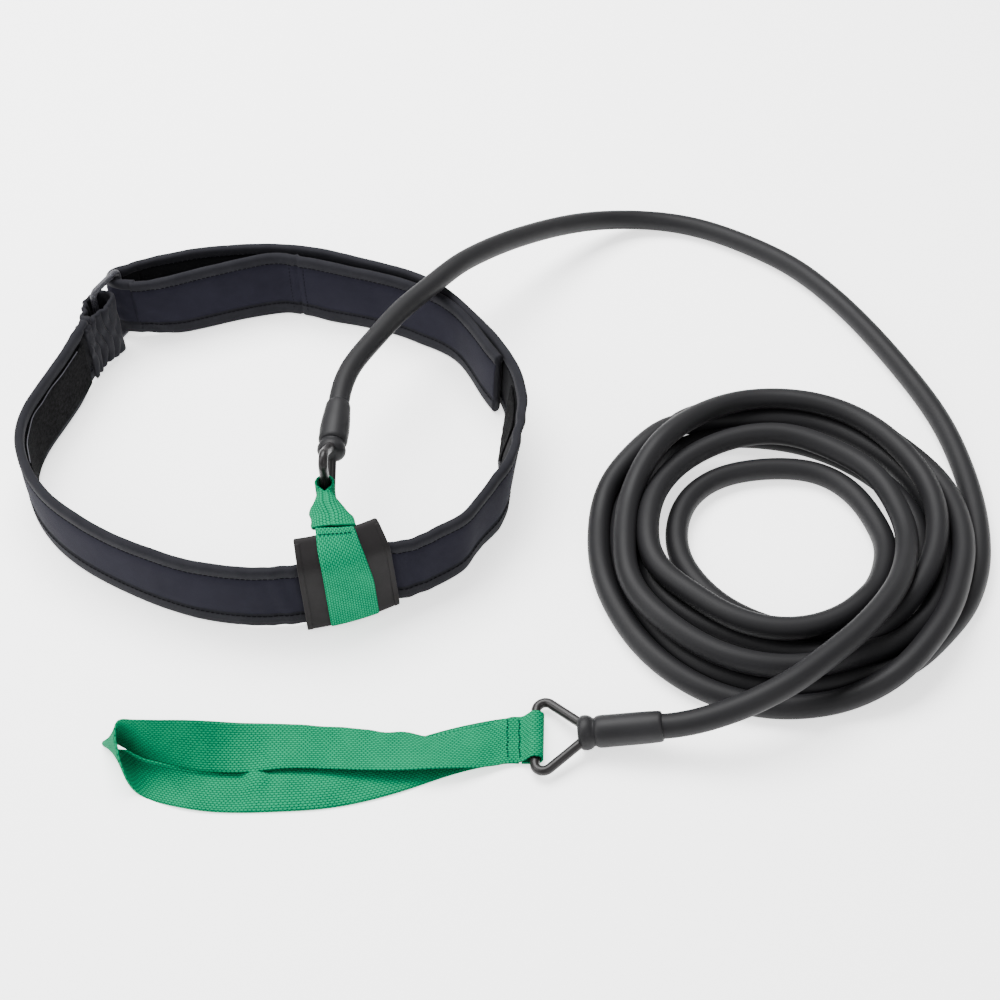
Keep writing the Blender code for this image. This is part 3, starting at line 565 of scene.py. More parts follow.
BELT_ROUTE = (
    [(-0.2755, 0.1160), (-0.2825, 0.0880), (-0.2905, 0.0610), (-0.2975, 0.0340),
     (-0.2965, 0.0060), (-0.2865, -0.0195), (-0.2695, -0.0425), (-0.2490, -0.0600),
     (-0.2275, -0.0735), (-0.2030, -0.0860), (-0.1780, -0.0955)]
    + [arc_point(a) for a in (-4, 2, 8, 14, 20, 26, 32)]
    + [(-0.0496, -0.0764), (-0.0366, -0.0697), (-0.0221, -0.0593), (-0.0152, -0.0491),
       (-0.0066, -0.0353), (0.0040, -0.0135), (0.0085, 0.0114), (0.0119, 0.0394),
       (0.0096, 0.0696), (-0.0028, 0.0996),
       (-0.0160, 0.1205), (-0.0293, 0.1387), (-0.0501, 0.1592), (-0.0699, 0.1708),
       (-0.1118, 0.1865), (-0.1397, 0.1942), (-0.1705, 0.1963), (-0.2075, 0.1914),
       (-0.2339, 0.1838), (-0.2500, 0.1760)]
)
belt_path = smooth(flat3(BELT_ROUTE), 0.002)
belt_s = distances(belt_path)
belt_long = belt_s[-1]


def along_at(path, point):
    return float(distances(path)[np.argmin(np.linalg.norm(path[:, :2] - np.array(point)[:2], axis=1))])


lift_from = along_at(belt_path, arc_point(-4)) - 0.030
lift_to = along_at(belt_path, arc_point(33)) + 0.030
slider_at = along_at(belt_path, arc_point(20))
right_at = along_at(belt_path, (0.0119, 0.0394))


def gathered(s):
    return GATHERED_HEIGHT + (BELT_HEIGHT - GATHERED_HEIGHT) * ease(s, -0.006, 0.034)


# (distance out, height from the nearer edge) up one side: edge, binding, groove, panel
SIDE = [(0.0000, 0.00005), (0.0013, 0.00020), (0.0024, 0.00090), (0.0029, 0.00210), (0.0030, 0.00360),
        (0.0029, 0.00530), (0.0027, 0.00640), (0.0021, 0.00690), (0.0019, 0.00730), (0.0022, 0.00800),
        (0.0026, 0.01000), (0.0029, 0.01350), (0.0030, 0.01900)]


def shell_section(tall, puff=1.0):
    """The ring of the belt's section as (out, z) pairs, with one side and its scale. Shell gives the faces their kinds:
    0 binding, 1 outside, 2 inside.
    """
    half = [(o, z) for o, z in SIDE] + [(SIDE[-1][0] + 0.00005, tall / 2)]
    foot_half = [(o, z * 1.60 if z < 0.0083 else z + 0.0048) for o, z in SIDE]
    side = foot_half + [half[-1]] + [(o, tall - z) for o, z in reversed(half[:-1])]
    scale = [min(z, tall - z) for _, z in side]
    ring = [(-o, z) for o, z in side] + [(o, z) for o, z in reversed(side[1:-1])]
    return np.array(ring), side, scale


def shell(name, low, high, sides, tall, foot, thick=1.0, seed=1.0, waves=None, outside=1, inside=2, start=0.0):
    """The belt's padded band over two plan lines, its foot line and its top line."""
    n = len(low)
    s = distances(low) + start
    ring, side, _ = shell_section(BELT_HEIGHT)
    k = len(ring)
    share = ring[:, 1] / BELT_HEIGHT
    rows = np.zeros((n, k, 3))
    ease_z = share[None, :]
    tall = np.broadcast_to(tall, (n,))
    foot = np.broadcast_to(foot, (n,))
    still = ease(np.minimum(s - s[0], s[-1] - s), 0.0, 0.014)
    edge_low = 0.00025 * wobble(s, seed, (0.09, 0.041, 0.023)) * still
    edge_top = 0.00045 * wobble(s, seed + 3, (0.083, 0.047, 0.019)) * still
    middle = low[:, None] * (1 - ease_z[..., None]) + high[:, None] * ease_z[..., None]
    shift = 0.00035 * wobble(s, seed + 5)[:, None] * (ease_z - 0.2)
    if waves is not None:
        shift = shift + waves(s[:, None], ease_z)
    shift = shift * still[:, None]
    out = ring[:, 0][None, :] * thick + shift
    rows = middle + sides[:, None] * out[..., None]
    z = foot[:, None] + ring[:, 1][None, :] / BELT_HEIGHT * tall[:, None]
    z = z + np.maximum(0, edge_low)[:, None] * (1 - ease_z) + edge_top[:, None] * ease_z ** 2
    rows[..., 2] = z
    kinds = []
    flank = len(side)
    for j in range(k):
        a, b = ring[j], ring[(j + 1) % k]
        z_mid = (a[1] + b[1]) / 2
        near_edge = z_mid < 0.0115 or z_mid > BELT_HEIGHT - 0.0072
        kinds.append(0 if near_edge else (outside if a[0] + b[0] < 0 else inside))
    v = np.append(0, np.cumsum(np.linalg.norm(np.roll(ring, -1, axis=0) - ring, axis=1)))
    return loft(name, rows, [BINDING, NAVY, LINING], v=v, u=s, columns=kinds), rows, ring


def belt_waves(s, share):
    gathers = bell(s, 0.004, 0.020) * 0.0007 * np.sin(2 * math.pi * (share * 5.0 + s / 0.019))
    ends = bell(s, belt_long, 0.030) * 0.0005 * np.sin(2 * math.pi * (share * 3.0 + s / 0.017))
    beside = (bell(s, slider_at - 0.036, 0.022) + bell(s, slider_at + 0.038, 0.024)) * 0.00035 * np.sin(
        2 * math.pi * (s / 0.012 + share * 0.8))
    tight = bell(s, right_at - 0.020, 0.026) * 0.0008 * np.sin(2 * math.pi * (s / 0.021 + share * 0.5)) * (share - 0.2)
    return gathers + ends + beside + tight


belt_sides = left_normals(belt_path)
belt_tall = gathered(np.minimum(belt_s, belt_long - belt_s))
rise = np.clip((belt_s - lift_from) / 0.030, 0, 1) * (1 - ease(belt_s, along_at(belt_path, arc_point(29.0)), lift_to - 0.026))
belt_foot = (BELT_HEIGHT - belt_tall) * 1.12 + BELT_LIFT * rise
# The right stretch leans: (degrees about the front's centre, foot line out, top line out).
LEAN = [(29, 0.0, 0.0), (32.5, 0.0012, 0.0018), (36.6, -0.0003, 0.0012), (43, -0.0010, -0.0004), (48, -0.0017, -0.0002),
        (53, -0.0030, 0.0), (57, -0.0033, -0.0002), (63, -0.0014, -0.0010), (69, -0.0026, 0.0012), (75, -0.0050, 0.0028),
        (80, -0.0090, 0.0032), (85, -0.0108, 0.0034), (90, -0.0104, 0.0030), (94, -0.0084, 0.0018), (98, -0.0050, 0.0010),
        (103, -0.0018, 0.0004), (109, 0.0, 0.0)]
belt_turn = np.degrees(np.arctan2(belt_path[:, 0] - ARC_CENTRE[0], ARC_CENTRE[1] - belt_path[:, 1]))
from_arc = belt_s > along_at(belt_path, arc_point(20))
low_out, high_out = [np.where(from_arc, np.interp(belt_turn, [v[0] for v in LEAN], [v[k] for v in LEAN]), 0.0) for k in (1, 2)]
belt_low = belt_path - belt_sides * low_out[:, None]
belt_high = belt_path - belt_sides * high_out[:, None]


def on_belt(at, height):
    """The middle of the belt's thickness at a distance along it and a height."""
    share = height / BELT_HEIGHT
    return np.array([np.interp(at, belt_s, belt_low[:, k] * (1 - share) + belt_high[:, k] * share) for k in range(3)])


belt, belt_rows, belt_ring = shell("belt_shell", belt_low, belt_high, belt_sides, belt_tall, belt_foot, 0.97, 1.0, belt_waves)
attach(belt, "belt_and_tube")
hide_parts("belt_core", "belt_face_panel", "belt_lining", "belt_binding_top", "belt_binding_bottom")


def edge_stitches(name, rows, ring, sign, body, first=0, last=None, pitch=0.0032, long=0.0028):
    """Lock stitches beside both bindings, on the side that sign names."""
    found = []
    for z in (0.0103, BELT_HEIGHT - 0.0062):
        j = int(np.argmin(np.abs(ring[:, 1] - z) + (ring[:, 0] * sign < 0) * 1.0))
        line = rows[first:last, j]
        middle = rows[first:last].mean(axis=1)
        up = units((line - middle) * np.array((1, 1, 0)))
        found += stitched(line, up, pitch, long)
    made = capsules(name, found, 0.00028, [DARK_THREAD], sides=4)
    return made


stitches = edge_stitches("belt_stitches_out", belt_rows, belt_ring, -1, "belt_and_tube")
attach(stitches, "belt_and_tube")
stitches = edge_stitches("belt_stitches_in", belt_rows, belt_ring, 1, "belt_and_tube")
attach(stitches, "belt_and_tube")

# The pile patch on the inside of the left stretch, its upper edge standing free.
run = even(belt_path, count=104, start=0.014, end=0.130)
run_n = left_normals(run)
run_s = distances(run)
grid = []
for p, n, s in zip(run, run_n, run_s):
    row = []
    for share in np.linspace(0, 1, 9):
        off = 0.0036 + 0.0004 * share ** 3 + 0.0002 * math.sin(s * 260 + share * 5)
        height = 0.0070 + 0.0352 * share + 0.0004 * math.sin(s * 190) * share
        row.append(p + n * off + np.array((0, 0, height)))
    grid.append(row)
patch = thick_sheet("loop_patch_cloth", grid, 0.0011, [PILE])
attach(patch, "belt_and_tube")
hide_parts("loop_patch")
grid = np.array(grid)
# a thin light tube along the patch's free upper edge, painted light as a highlight on that edge
edge_line = grid[:, -1] + np.array((0, 0, 0.0004))
patch_edge_highlight = tube("loop_patch_edge", edge_line[8:], 0.00032, [EDGE_HIGHLIGHT], 8)
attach(patch_edge_highlight, "belt_and_tube")

run_s = np.linspace(0.533, 0.572, 30)
run_n = left_normals(np.array([on_belt(s, 0.0) for s in run_s]))
grid = [[on_belt(s, z) + n * (0.0036 + 0.0001 * math.sin(k * 0.9)) + np.array((0, 0, z)) for z in np.linspace(0.0105, 0.0405, 8)]
        for k, (s, n) in enumerate(zip(run_s, run_n))]
hook = thick_sheet("hook_strip_cloth", grid, 0.0009, [HOOK])
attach(hook, "belt_and_tube")
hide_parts("hook_strip")

# ---------------------------------------------------------------- the folded end
TAIL_LOW = [(-0.2500, 0.1532), (-0.2400, 0.1552), (-0.2204, 0.1593), (-0.1866, 0.1711), (-0.1591, 0.1786), (-0.1485, 0.1797),
            (-0.1340, 0.1762), (-0.1202, 0.1711), (-0.0987, 0.1657), (-0.0700, 0.1551), (-0.0557, 0.1467), (-0.0416, 0.1384),
            (-0.0275, 0.1240), (-0.0135, 0.0945), (-0.0052, 0.0795)]
TAIL_HIGH = [(-0.2510, 0.1515), (-0.2431, 0.1518), (-0.2220, 0.1585), (-0.2028, 0.1672), (-0.1708, 0.1800), (-0.1546, 0.1836),
             (-0.1376, 0.1791), (-0.1202, 0.1740), (-0.0987, 0.1668), (-0.0700, 0.1565), (-0.0557, 0.1482), (-0.0400, 0.1375),
             (-0.0250, 0.1200), (-0.0120, 0.0960), (-0.0030, 0.0790)]
tail_low = even(smooth(flat3(TAIL_LOW), 0.001), count=170)
tail_high = even(smooth(flat3(TAIL_HIGH), 0.001), count=170)
tail_sides = left_normals((tail_low + tail_high) / 2)
# the trace is of the face that looks inward, which is on the route's right
tail_low = tail_low + tail_sides * 0.0029
tail_high = tail_high + tail_sides * 0.0029
tail_s = distances(tail_low)
tail_tall = gathered(tail_s)
seam_index = int(np.argmin(np.abs(tail_low[:, 0] + 0.1390)))
seam_s = tail_s[seam_index]


def tail_waves(s, share):
    seam = bell(s, seam_s, 0.010) * 0.0011
    crease = bell(s, seam_s, 0.0022) * 0.0016
    gathers = bell(s, 0.004, 0.024) * 0.0006 * np.sin(2 * math.pi * (share * 4.0 + s / 0.016))
    sag = 0.0006 * np.sin(s * 39 + 1.0) * (share - 0.5)
    return -0.4 * seam + crease + gathers + sag


tail, tail_rows, tail_ring = shell("tail_shell", tail_low, tail_high, tail_sides, tail_tall,
                                   (BELT_HEIGHT - tail_tall) * 1.12, 0.97, 7.0, tail_waves)
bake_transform(tail)
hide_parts("tail_core", "tail_face_panel", "tail_lining", "tail_binding_top", "tail_binding_bottom",
            "tail_end_core", "tail_end_face_panel", "tail_end_hook_tape", "tail_end_binding_top", "tail_end_binding_bottom")
stitches = edge_stitches("tail_stitches", tail_rows, tail_ring, -1, "belt_and_tube")
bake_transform(stitches)
# the sewn joint: a line of stitches up the face
j_list = [j for j in range(len(tail_ring)) if tail_ring[j, 0] < 0 and 0.004 < tail_ring[j, 1] < 0.046]
found = []
for side_step in (-3, 3):
    line = np.array([tail_rows[seam_index + side_step, j] for j in j_list])
    line = line[np.argsort(line[:, 2])]
    found += stitched(line, np.repeat(-tail_sides[seam_index][None], len(line), axis=0), 0.0030, 0.0020)
stitches = capsules("tail_seam_stitches", found, 0.00022, [DARK_THREAD], sides=4)
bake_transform(stitches)

# ---------------------------------------------------------------- the fold round the ring's bar
fold_r = BUCKLE_WIRE / 2 + 0.0038
around = [BUCKLE_FREE + fold_r * np.array((math.cos(math.radians(a)), math.sin(math.radians(a))))
          for a in (115, 140, 165, 190, 215, 240, 265)]
fold_path = smooth(flat3([(-0.2485, 0.1768), (-0.2513, 0.1752), (-0.2565, 0.1720)] + [tuple(v) for v in around]
                         + [(-0.2560, 0.1561), (-0.2484, 0.1556)]), 0.0010)
fold_foot = (BELT_HEIGHT - GATHERED_HEIGHT) * 1.12


def fold_waves(s, share):
    return 0.0005 * np.sin(2 * math.pi * (share * 3.0 + s / 0.018))


fold, fold_rows, _ = shell("fold_shell", fold_path, fold_path, left_normals(fold_path), GATHERED_HEIGHT + 0.0002, fold_foot,
                           0.94, 2.0, fold_waves)
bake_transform(fold)
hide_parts("belt_fold")


# ---------------------------------------------------------------- rectangular ring and its keeper
def rounded(vertices, radii, steps):
    """The points of a flat polygon whose corners are rounded."""
    out = []
    for i, (p, radius) in enumerate(zip(vertices, radii)):
        p = np.array(p, float)
        a = np.array(vertices[i - 1], float) - p
        b = np.array(vertices[(i + 1) % len(vertices)], float) - p
        a /= np.linalg.norm(a)
        b /= np.linalg.norm(b)
        half = math.acos(float(a @ b)) / 2
        middle = p + (a + b) / np.linalg.norm(a + b) * radius / math.sin(half)
        first = p + a * radius / math.tan(half) - middle
        last = p + b * radius / math.tan(half) - middle
        start = math.atan2(first[1], first[0])
        turn = (math.atan2(last[1], last[0]) - start + math.pi) % (2 * math.pi) - math.pi
        for k in range(steps + 1):
            angle = start + turn * k / steps
            out.append(middle + radius * np.array([math.cos(angle), math.sin(angle)]))
    return out


ring_dir = BUCKLE_FREE - BUCKLE_HELD
ring_span = float(np.linalg.norm(ring_dir))
ring_dir = ring_dir / ring_span
half_wire = BUCKLE_WIRE / 2
outline = rounded([(0, BUCKLE_BOTTOM + half_wire), (ring_span, BUCKLE_BOTTOM + half_wire),
                   (ring_span, BUCKLE_TOP - half_wire), (0, BUCKLE_TOP - half_wire)], [0.0045] * 4, 12)
outline = np.array([(BUCKLE_HELD[0] + ring_dir[0] * u, BUCKLE_HELD[1] + ring_dir[1] * u, z) for u, z in outline])
buckle = tube("buckle_ring_wire", outline, half_wire, [BUCKLE], 28,
              up=(ring_dir[1], -ring_dir[0], 0), closed=True, caps=False)
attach(buckle, "buckle")
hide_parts("buckle_ring")

keeper_dir = BUCKLE_HELD - belt_path[0][:2]
keeper_dir = keeper_dir / np.linalg.norm(keeper_dir)
keeper_side = np.array([-keeper_dir[1], keeper_dir[0]])
eye_at = BUCKLE_HELD + keeper_dir * 0.0042 - keeper_side * 0.0030
keeper_line = [BUCKLE_HELD + keeper_dir * back + keeper_side * off
               for back, off in ((-0.0300, 0.0026), (-0.0240, 0.0027), (-0.0200, 0.0029), (-0.0150, 0.0034), (-0.0090, 0.0046), (-0.0030, 0.0055))]
keeper_line += [eye_at + keeper_dir * 0.0064 * math.cos(math.radians(a)) + keeper_side * 0.0078 * math.sin(math.radians(a))
                for a in (80, 55, 30, 0, -30, -55, -80, -105)]
keeper_line += [BUCKLE_HELD + keeper_dir * back - keeper_side * off
                for back, off in ((-0.0060, 0.0086), (-0.0120, 0.0055), (-0.0165, 0.0036), (-0.0200, 0.0029), (-0.0240, 0.0027), (-0.0300, 0.0026))]
keeper_path = smooth(flat3(keeper_line), 0.0007)
keeper_s = distances(keeper_path)
keeper_n = left_normals(keeper_path)
keeper_mid = keeper_s[-1] / 2
grid = []
for p, n, s in zip(keeper_path, keeper_n, keeper_s):
    near_bar = float(ease(0.034 - abs(s - keeper_mid), 0.0, 0.030))
    low = 0.0056 - 0.0042 * near_bar + 0.0006 * math.sin(s * 300)
    high = 0.0462 + 0.0010 * near_bar + 0.0005 * math.sin(s * 260 + 1)
    row = []
    for share in np.linspace(0, 1, 31):
        gather = float(ease(abs(s - keeper_mid), 0.006, 0.026))
        fold_wave = 0.0008 * gather * math.sin(2 * math.pi * (s / 0.0064 + 0.45 * math.sin(share * 5.5)))
        fold_wave += 0.0004 * math.sin(2 * math.pi * (share * 2.1 + s / 0.013))
        row.append(p + n * fold_wave + np.array((0, 0, low + (high - low) * share)))
    grid.append(row)
keeper = thick_sheet("keeper_cloth", grid, 0.0031, [BINDING])
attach(keeper, "belt_and_tube")
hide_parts("buckle_keeper")
# the gathered row of stitches that closes the keeper, its ends standing past the edges
row_at = BUCKLE_HELD - keeper_dir * 0.0198
line = []
for share in np.linspace(0, 1, 60):
    z = 0.0022 + 0.0475 * share
    wave = 0.0007 * math.sin(2 * math.pi * share * 5.0) + 0.0004 * math.sin(share * 51)
    p = row_at + keeper_side * 0.0 + keeper_dir * wave
    line.append((*p, z))
line = np.array(line)
thick_row = 0.0034 + 0.0009 * np.sin(np.linspace(0, 2 * math.pi * 9, 60)) * np.sin(np.linspace(0.4, 2.8, 60))
angle = np.linspace(0, 2 * math.pi, 20, endpoint=False)
rows = []
for p, r in zip(line, thick_row):
    rows.append([p + np.array((*(keeper_side * math.cos(a) * (r + 0.0006) + keeper_dir * math.sin(a) * 0.0019), 0.0)) for a in angle])
gather = loft("keeper_gather", rows, [BINDING])
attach(gather, "belt_and_tube")

# ---------------------------------------------------------------- the sliding sleeve
front = [(0.0052, 0.0022), (0.0057, 0.0046), (0.0057, 0.0150), (0.0056, 0.0280), (0.0054, 0.0400), (0.0051, 0.0500),
         (0.0042, 0.0545), (0.0014, 0.0584), (-0.0026, 0.0618), (-0.0064, 0.0646)]
crest = [(-0.0082, SLIDER_TOP - 0.0008), (-0.0098, 0.0644)]
rear = [(-0.0078, 0.0582), (-0.0060, 0.0530), (-0.0051, 0.0475), (-0.0049, 0.0330), (-0.0049, 0.0180),
        (-0.0049, 0.0048), (-0.0042, 0.0022), (-0.0024, 0.0013), (0.0034, 0.0013)]


def at_height(pair, z):
    return pair[0] + (pair[1] - pair[0]) * np.minimum(1.0, z / SLIDER_TOP)


def sleeve_grid(section, share, steps, wave=0.0):
    """(length round the section, width) points."""
    section = np.asarray(section)
    grid = []
    for k, (out, z) in enumerate(section):
        u = np.linspace(-1, 1, steps)
        angle = at_height(SLIDER_ANGLE, z) + u * share * at_height(SLIDER_HALF, z)
        bumpy = wave * np.sin(u * 4.1 + z * 90) * (0.4 + 0.6 * np.sin(z * 70) ** 2)
        x, y = arc_point(angle, ARC_RADIUS + out + bumpy)
        grid.append(np.stack([x, y, np.full(steps, z)], axis=1))
    return np.array(grid)


section = np.array(front + crest + rear)
closed_section = smooth(flat3(np.vstack([section[-3:], section, section[:3]])), 0.0004)[:, :2]
first = int(np.argmin(np.linalg.norm(closed_section - section[0], axis=1)[:len(closed_section) // 2]))
last_part = np.linalg.norm(closed_section - section[0], axis=1)
last = len(closed_section) // 2 + int(np.argmin(last_part[len(closed_section) // 2:]))
section_fine = even(closed_section[first:last], count=96)
sleeve_cloth = thick_sheet("slider_sleeve_cloth", sleeve_grid(section_fine, 1.0, 33, 0.00018), SLIDER_SHEET, [PANEL], closed=True)
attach(sleeve_cloth, "sliding_sleeve")
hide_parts("slider_sleeve")
# a turned hem down each side edge of the front
hem_section = even(smooth(flat3(np.array(front)), 0.0005)[:, :2], count=60)
slope = np.gradient(hem_section, axis=0)
slope = units(slope)
hem_out = hem_section + np.stack([slope[:, 1], -slope[:, 0]], axis=1) * (SLIDER_SHEET / 2 + 0.00012)
for name, side_share in (("left", -1), ("right", 1)):
    grid = []
    for out, z in hem_out:
        edge = at_height(SLIDER_ANGLE, z) + side_share * at_height(SLIDER_HALF, z)
        inner = edge - side_share * 0.9
        angle = np.linspace(inner, edge + side_share * 0.15, 6)
        x, y = arc_point(angle, ARC_RADIUS + out)
        grid.append(np.stack([x, y, np.full(6, z)], axis=1))
    hem = thick_sheet("slider_hem_" + name, grid, 0.0005, [PANEL])
    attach(hem, "sliding_sleeve")

strip = even(smooth(flat3(np.array(front[1:] + crest[:1])), 0.0005)[:, :2], count=100)
slope = units(np.gradient(strip, axis=0))
strip = strip + np.stack([slope[:, 1], -slope[:, 0]], axis=1) * (SLIDER_SHEET / 2 + 0.00045 + WEBBING_THICK / 2)
web_share = (WEBBING_WIDTH / 2) / (math.radians(SLIDER_HALF[0]) * (ARC_RADIUS + 0.0073))
strip_grid = sleeve_grid(strip, web_share, 21, 0.00012)
# the lower end is turned under
turn_under = []
foot = strip[0]
for a in np.linspace(170, 0, 12)[:-1]:
    r = math.radians(a)
    turn_under.append((foot[0] - 0.0011 + 0.0011 * math.cos(r), foot[1] - 0.0011 * math.sin(r)))
under = sleeve_grid(np.array(turn_under), web_share, 21)
web_grid = np.concatenate([under, strip_grid])
narrower = 0.10 * ease(web_grid[..., 2], 0.030, 0.064)
web_grid = web_grid[:, :1] + (web_grid - web_grid[:, :1]) * (1 - narrower[..., None])
# its top edge stands a little past the sleeve's on the left
web_past = ease(np.arange(len(web_grid)) / len(web_grid), 0.86, 1.0)[:, None] * np.linspace(1, 0, 21)[None, :]
web_grid[..., 1] += 0.0052 * web_past
web_grid[..., 2] += 0.0012 * web_past
# the sleeve's webbing uses the copy of the webbing that is painted lighter for the light on its front
webbing = thick_sheet("slider_webbing_cloth", web_grid, WEBBING_THICK, [WEBBING_PAINTED_LIT])
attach(webbing, "sliding_sleeve")
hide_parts("slider_webbing")


# ---------------------------------------------------------------- ribbons
def ribbon(stations, count, closed, across=9):
    """Points between two selvedges, smooth along both. A station is six numbers."""
    p = np.array(stations, float)
    if closed:
        p = np.vstack([p[-4:], p, p[:4]])
    middle = (p[:, :3] + p[:, 3:]) / 2
    t = np.concatenate([[0], np.cumsum(np.sqrt(np.linalg.norm(np.diff(middle, axis=0), axis=1) + 0.001))])
    n, h = len(p), np.diff(t)
    a, r = np.zeros((n, n)), np.zeros((n, 6))
    a[0, 0] = a[-1, -1] = 1.0
    for i in range(1, n - 1):
        a[i, i - 1], a[i, i], a[i, i + 1] = h[i - 1], 2 * (h[i - 1] + h[i]), h[i]
        r[i] = 6 * ((p[i + 1] - p[i]) / h[i] - (p[i] - p[i - 1]) / h[i - 1])
    m = np.linalg.solve(a, r)
    first, last = (4, n - 4) if closed else (0, n - 1)
    fine = []
    for want in np.linspace(t[first], t[last], 60 * len(stations), endpoint=not closed):
        i = min(max(int(np.searchsorted(t, want, side="right")) - 1, 0), n - 2)
        u = want - t[i]
        w = h[i] - u
        fine.append((m[i] * w**3 + m[i + 1] * u**3) / (6 * h[i])
                    + (p[i] / h[i] - m[i] * h[i] / 6) * w + (p[i + 1] / h[i] - m[i + 1] * h[i] / 6) * u)
    fine = np.array(fine)
    middle = (fine[:, :3] + fine[:, 3:]) / 2
    turn = np.diff(middle, axis=0)
    step = np.linalg.norm(turn, axis=1)
    turn /= step[:, None]
    bend = np.concatenate([[0], np.arccos(np.clip((turn[1:] * turn[:-1]).sum(axis=1), -1, 1)), [0]])
    weight = np.concatenate([[0], np.cumsum(step + 0.010 * (bend[1:] + bend[:-1]) / 2)])
    at = np.linspace(0, weight[-1], count, endpoint=not closed)
    got = np.stack([np.interp(at, weight, fine[:, k]) for k in range(6)], axis=1)
    share = np.linspace(0, 1, across)[None, :, None]
    return got[:, None, :3] * (1 - share) + got[:, None, 3:] * share


def dented(grid, shapes):
    """Moves a cloth along its own normal. shapes(u share, v share, length, width) gives metres."""
    n, m, _ = grid.shape
    normal = units(np.cross(np.gradient(grid, axis=0), np.gradient(grid, axis=1)))
    s = distances(grid[:, m // 2])
    v = np.linspace(0, 1, m)
    return grid + normal * shapes(s[:, None], v[None, :])[..., None]


top_angle = at_height(SLIDER_ANGLE, SLIDER_TOP)
seam_x, seam_y = arc_point(top_angle - 0.5, ARC_RADIUS - 0.0120)
seam_mid = np.array((seam_x, seam_y + 0.0026, 0.0658))
turn_a = math.radians(top_angle)
seam_wide = units(np.array((math.cos(turn_a), math.sin(turn_a) - 0.19, -0.04)))
eye_mid = BAR_A - ACROSS_A * 0.0052 - AXIS_A * 0.0022
eye_r = 0.0052
neck_end = eye_mid - AXIS_A * 0.0068
EYE_WIDE = ((0.0, 0.25, 0.45, 0.62, 0.80, 1.0), (0.0122, 0.0115, 0.0108, 0.0095, 0.0076, 0.0058))
EYE_DEEP = ((0.0, 0.25, 0.45, 0.62, 0.80, 1.0), (0.0014, 0.0034, 0.0062, 0.0088, 0.0108, 0.0122))
EYE_SHIFT = ((0.0, 0.25, 0.45, 0.62, 0.80, 1.0), (0.0, 0.0008, 0.0002, 0.0, 0.0008, 0.0012))


def eye_leaf(sign, share, across=17):
    """One leaf of the neck: the strip folded down its middle, its fold at the side that sign names."""
    turn = float(ease(share, 0.0, 1.0))
    wide, deep, shift = (float(np.interp(share, *table)) for table in (EYE_WIDE, EYE_DEEP, EYE_SHIFT))
    mid = seam_mid * (1 - share) + neck_end * share
    mid = mid + np.array((shift, 0, 0.0026 * math.sin(math.pi * share) * (1 - share)))
    flat = units(seam_wide * (1 - turn) - first_side * turn)
    up = units(np.array((0, 0, 1.0)) * (1 - turn) + ACROSS_A * turn)
    row = []
    for v in np.linspace(0, 1, across):
        a = math.pi * (v - 0.5)
        c, h = abs(math.cos(a)) ** (1.0 - 0.45 * turn), math.sin(a)
        folds = 1 + 0.05 * math.sin(v * 13 + sign * 1.3 + share * 5) * math.sin(math.pi * min(1.0, share * 1.1))
        row.append(mid + flat * sign * wide * c * folds + up * deep * h)
    return row


first_side = np.cross(ACROSS_A, AXIS_A)
if first_side[0] > 0:
    first_side = -first_side
shares = list(np.linspace(-0.10, 1.0, 30))
left_leaf = np.array([eye_leaf(-1, max(k, 0.0)) + (neck_end - seam_mid) * min(k, 0.0) for k in shares])
right_leaf = np.array([eye_leaf(1, max(k, 0.0)) + (neck_end - seam_mid) * min(k, 0.0) for k in shares])
wrap = []
for degrees in np.linspace(125, -125, 26):
    a = math.radians(degrees)
    at = eye_mid + AXIS_A * eye_r * math.cos(a) + first_side * eye_r * math.sin(a)
    wrap.append([at + ACROSS_A * 0.0124 * u for u in np.linspace(-1, 1, 17)])
eye_grid = np.concatenate([left_leaf, np.array(wrap), right_leaf[::-1]])
# one smooth surface at an even spacing
p = eye_grid.reshape(len(eye_grid), -1)
middle = eye_grid[:, 8]
keep = [0]
for k in range(1, len(middle)):
    if np.linalg.norm(middle[k] - middle[keep[-1]]) > 0.0006:
        keep.append(k)
eye_grid = smooth(p[keep], 0.0045).reshape(-1, 17, 3)
eye = thick_sheet("slider_eye_cloth", eye_grid, 0.0012, [WEBBING])
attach(eye, "sliding_sleeve")
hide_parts("slider_eye")

# ---------------------------------------------------------------- end fittings
ring_outline = rounded([(-0.0288, 0.0), (0.0288, 0.0), (0.0, 0.0329)], [0.0050, 0.0050, 0.0091], 14)


def fitting(letter, bar, axis, across, side, body, sleeve_profile, collar):
    points = np.array([bar + across * u + axis * v for u, v in ring_outline])
    wire = tube("ring_%s_wire" % letter, points, RING_WIRE / 2, [RING], 28, up=tuple(side), closed=True, caps=False)
    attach(wire, body)
    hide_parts("ring_" + letter)
    plug = turned("end_plug_%s_moulded" % letter, collar, bar, axis, across, side, [MOULDED])
    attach(plug, body)
    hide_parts("end_plug_" + letter)
    sleeve = turned("sleeve_%s_moulded" % letter, sleeve_profile, bar, axis, across, side, [MOULDED])
    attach(sleeve, body)
    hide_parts("sleeve_" + letter, "tube_end_" + letter)
    return wire, plug, sleeve


def collar_profile(face, radius, groove, shoulder):
    return [(0.0, face), (radius - 0.0034, face), (radius - 0.0018, face + 0.0003), (radius - 0.0006, face + 0.0012),
            (radius, face + 0.0026), (radius + 0.0001, face + 0.0045), (radius - 0.0003, face + 0.0062),
            (radius - 0.0010, face + 0.0074), (groove + 0.0002, face + 0.0082), (groove, face + 0.0089),
            (groove, shoulder), (0.0, shoulder)]


